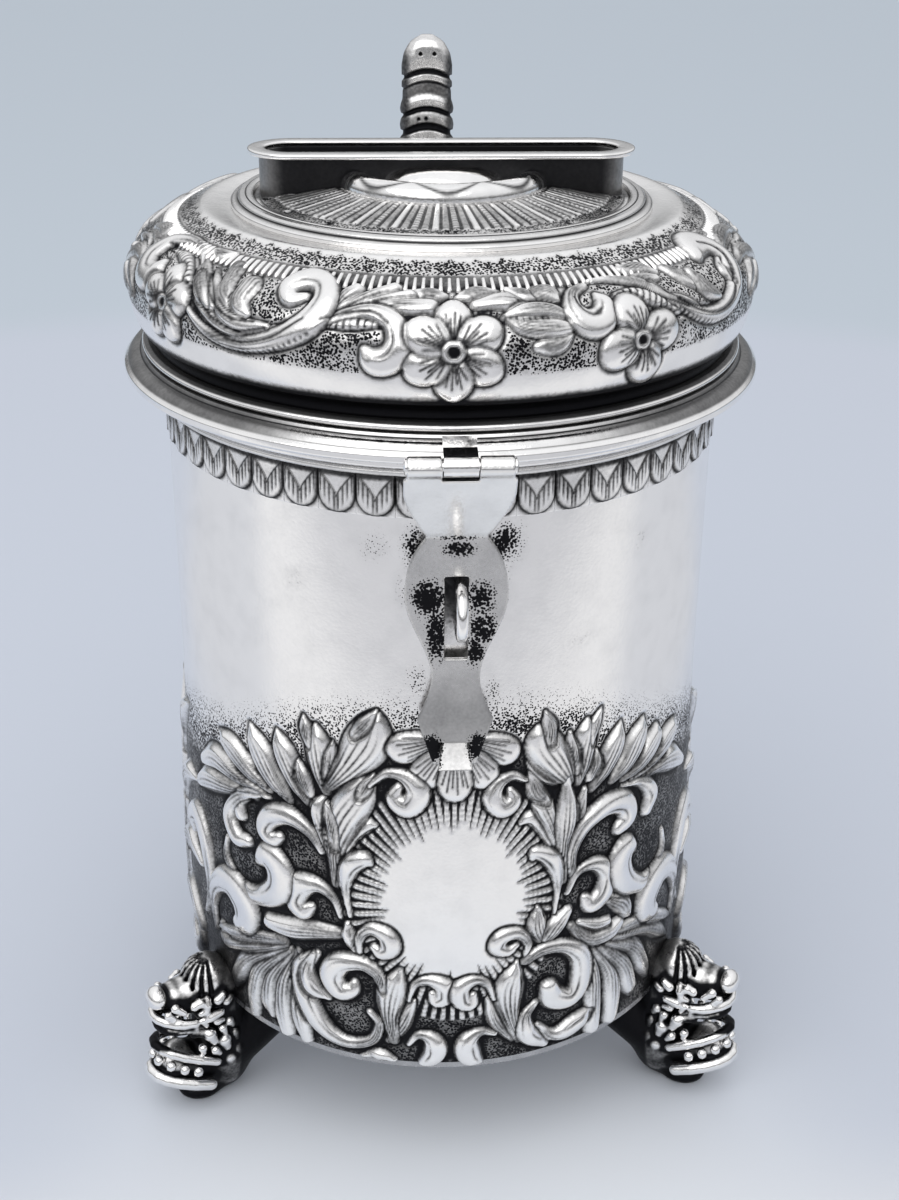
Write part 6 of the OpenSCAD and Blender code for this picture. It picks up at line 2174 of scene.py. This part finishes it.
@dataclass(frozen=True)
class Setting:
    """Camera, light and floor."""

    eye: tuple[float, float, float] = (-14.3, -262.9, 208.41)
    heading: tuple[float, float] = (0.061, 0.998)
    pitch: float = 25.608
    roll: float = 0.554
    lens: float = 51.97
    near_floor: Colour = (0.60, 0.64, 0.72)
    far_floor: Colour = (0.56, 0.62, 0.685)
    # The front and under-box colours are painted pools of light on the floor
    front_floor: Colour = (0.82, 0.82, 0.825)
    fore_floor: Colour = (0.57, 0.575, 0.60)
    side_floor: Colour = (0.66, 0.675, 0.71)
    under_floor: Colour = (0.80, 0.83, 0.875)
    floor_half: float = 8.0
    floor_edge: float = 0.46
    # Height of the look and brightness there
    sky: tuple[tuple[float, float], ...] = ((0.0, 0.14), (0.1, 0.2), (0.3, 0.74), (1.0, 0.98))
    lamp: tuple[float, float, float] = (-0.22, -0.55, 0.75)
    lamp_aim: tuple[float, float, float] = (0.0, 0.0, 0.08)
    lamp_size: float = 1.2
    lamp_power: float = 2.8

    def camera(self) -> None:
        """Places the camera where the photograph was taken."""
        data = bpy.data.cameras.new("camera")
        data.lens, data.sensor_width, data.sensor_fit = self.lens, 36.0, "AUTO"
        data.clip_start, data.clip_end = 0.01, 50.0
        eye = linked("camera", data)
        down = math.radians(self.pitch)
        ahead = Vector((self.heading[0] * math.cos(down), self.heading[1] * math.cos(down), -math.sin(down)))
        upright = ahead.to_track_quat("-Z", "Y").to_matrix()
        tilt = Matrix.Rotation(math.radians(self.roll), 3, "Z")
        eye.matrix_world = Matrix.Translation(Vector(self.eye) * MM) @ (upright @ tilt).to_4x4()
        bpy.context.scene.camera = eye

    def floor(self) -> None:
        """Lays the pale table, with soft fields of tone round the box, among them painted light in front of
        it and under it.
        """
        far = self.floor_half
        mesh = bpy.data.meshes.new("floor")
        mesh.from_pydata([(-far, -far, 0), (far, -far, 0), (far, far, 0), (-far, far, 0)], [], [(0, 1, 2, 3)])
        plane = linked("floor", mesh)
        paper = bpy.data.materials.new("pale_table")
        paper.use_nodes = True
        wiring = Wiring(paper.node_tree)
        place = wiring.add("ShaderNodeTexCoord").outputs["Object"]
        axes = wiring.add("ShaderNodeSeparateXYZ", {"Vector": place}).outputs

        def fade(source: Socket, first: float, last: float) -> Socket:
            """Eases from 0 to 1 between two distances."""
            return wiring.spread(source, (first, last), ease="SMOOTHSTEP")

        def away(ahead: float) -> Socket:
            """Measures from a point that far in front of the axis.

            Args:
                ahead: Distance of that point.

            Returns:
                The distance.
            """
            spot = wiring.add("ShaderNodeVectorMath", {0: place, 1: (0.0, ahead, 0.0)}, operation="ADD")
            span = wiring.add("ShaderNodeVectorMath", {0: spot.outputs["Vector"]}, operation="LENGTH")
            return span.outputs["Value"]

        beside = wiring.add("ShaderNodeMath", {0: axes["X"]}, operation="ABSOLUTE").outputs["Value"]
        flank = wiring.sums("MULTIPLY", fade(beside, 0.11, 0.18), fade(axes["Y"], 0.22, 0.1))
        table = self.near_floor
        for share, colour in (
                (fade(away(0.0), self.floor_edge - 0.03, self.floor_edge + 0.03), self.far_floor),
                (flank, self.side_floor),
                # Painted light on the floor in front of the box
                (fade(axes["Y"], -0.035, -0.085), self.front_floor),
                # Painted light lifting the shadow under and just in front of the box
                (fade(away(0.06), 0.09, 0.02), self.under_floor),
                (fade(axes["Y"], -0.12, -0.22), self.fore_floor)):
            table = wiring.blend(share, table, colour)
        wiring.take(paper.node_tree.nodes["Principled BSDF"],
                    {"Roughness": 0.9, "Specular IOR Level": 0.1, "Base Color": table})
        mesh.materials.append(paper)

    def light(self) -> None:
        """Lights the box with a soft sky and one large lamp."""
        world = bpy.data.worlds.new("studio")
        bpy.context.scene.world = world
        world.use_nodes = True
        wiring = Wiring(world.node_tree)
        way = wiring.add("ShaderNodeTexCoord").outputs["Generated"]
        rise = wiring.add("ShaderNodeSeparateXYZ", {"Vector": way}).outputs["Z"]
        ramp = wiring.add("ShaderNodeValToRGB", {"Fac": rise})
        while len(ramp.color_ramp.elements) < len(self.sky):
            ramp.color_ramp.elements.new(0.5)
        for element, (place, value) in zip(ramp.color_ramp.elements, self.sky):
            element.position, element.color = place, (value, value * 1.01, value * 1.03, 1.0)
        wiring.take(world.node_tree.nodes["Background"], {"Color": ramp.outputs["Color"]})
        data = bpy.data.lights.new("softbox", "AREA")
        data.shape, data.size, data.energy = "DISK", self.lamp_size, self.lamp_power
        lamp = linked("softbox", data)
        lamp.location = self.lamp
        aim = Vector(self.lamp_aim) - lamp.location
        lamp.rotation_euler = aim.to_track_quat("-Z", "Y").to_euler()


def build_box() -> None:
    """Builds the box piece by piece, then the setting."""
    logging.basicConfig(level=logging.INFO, format="%(message)s")
    studio = Studio({
        Slot.POLISHED: SilverFinish("polished_silver", polish=0.12, mottle=0.06),
        Slot.CHASED: SilverFinish("chased_silver", polish=0.2),
        Slot.CAST: SilverFinish("cast_silver", polish=0.2, bite=0.5),
        Slot.INNER: SilverFinish("inner_silver", (0.4, 0.4, 0.41), polish=0.3, wear=0.12)})
    repeats = Repeats()
    Wall().build(studio)
    ScallopBorder().build(studio, repeats)
    LidDome().build(studio, repeats)
    Crown().build(studio)
    Rings().build(studio)
    Foot().build(studio, repeats)
    Thumbpiece().build(studio)
    Hasp().build(studio)
    studio.keep(Slot.CAST, "handle", "handle_root", "handle_tail", "hinge_block", "hinge_leaf")
    studio.keep(Slot.POLISHED, "lid_pin", "hasp_leaf", "hasp_pin")
    studio.keep(Slot.INNER, "base_plate", "lid_bezel")
    setting = Setting()
    setting.camera()
    setting.floor()
    setting.light()
    bpy.context.scene.view_settings.view_transform = "Standard"


if __name__ == "__main__":
    build_box()
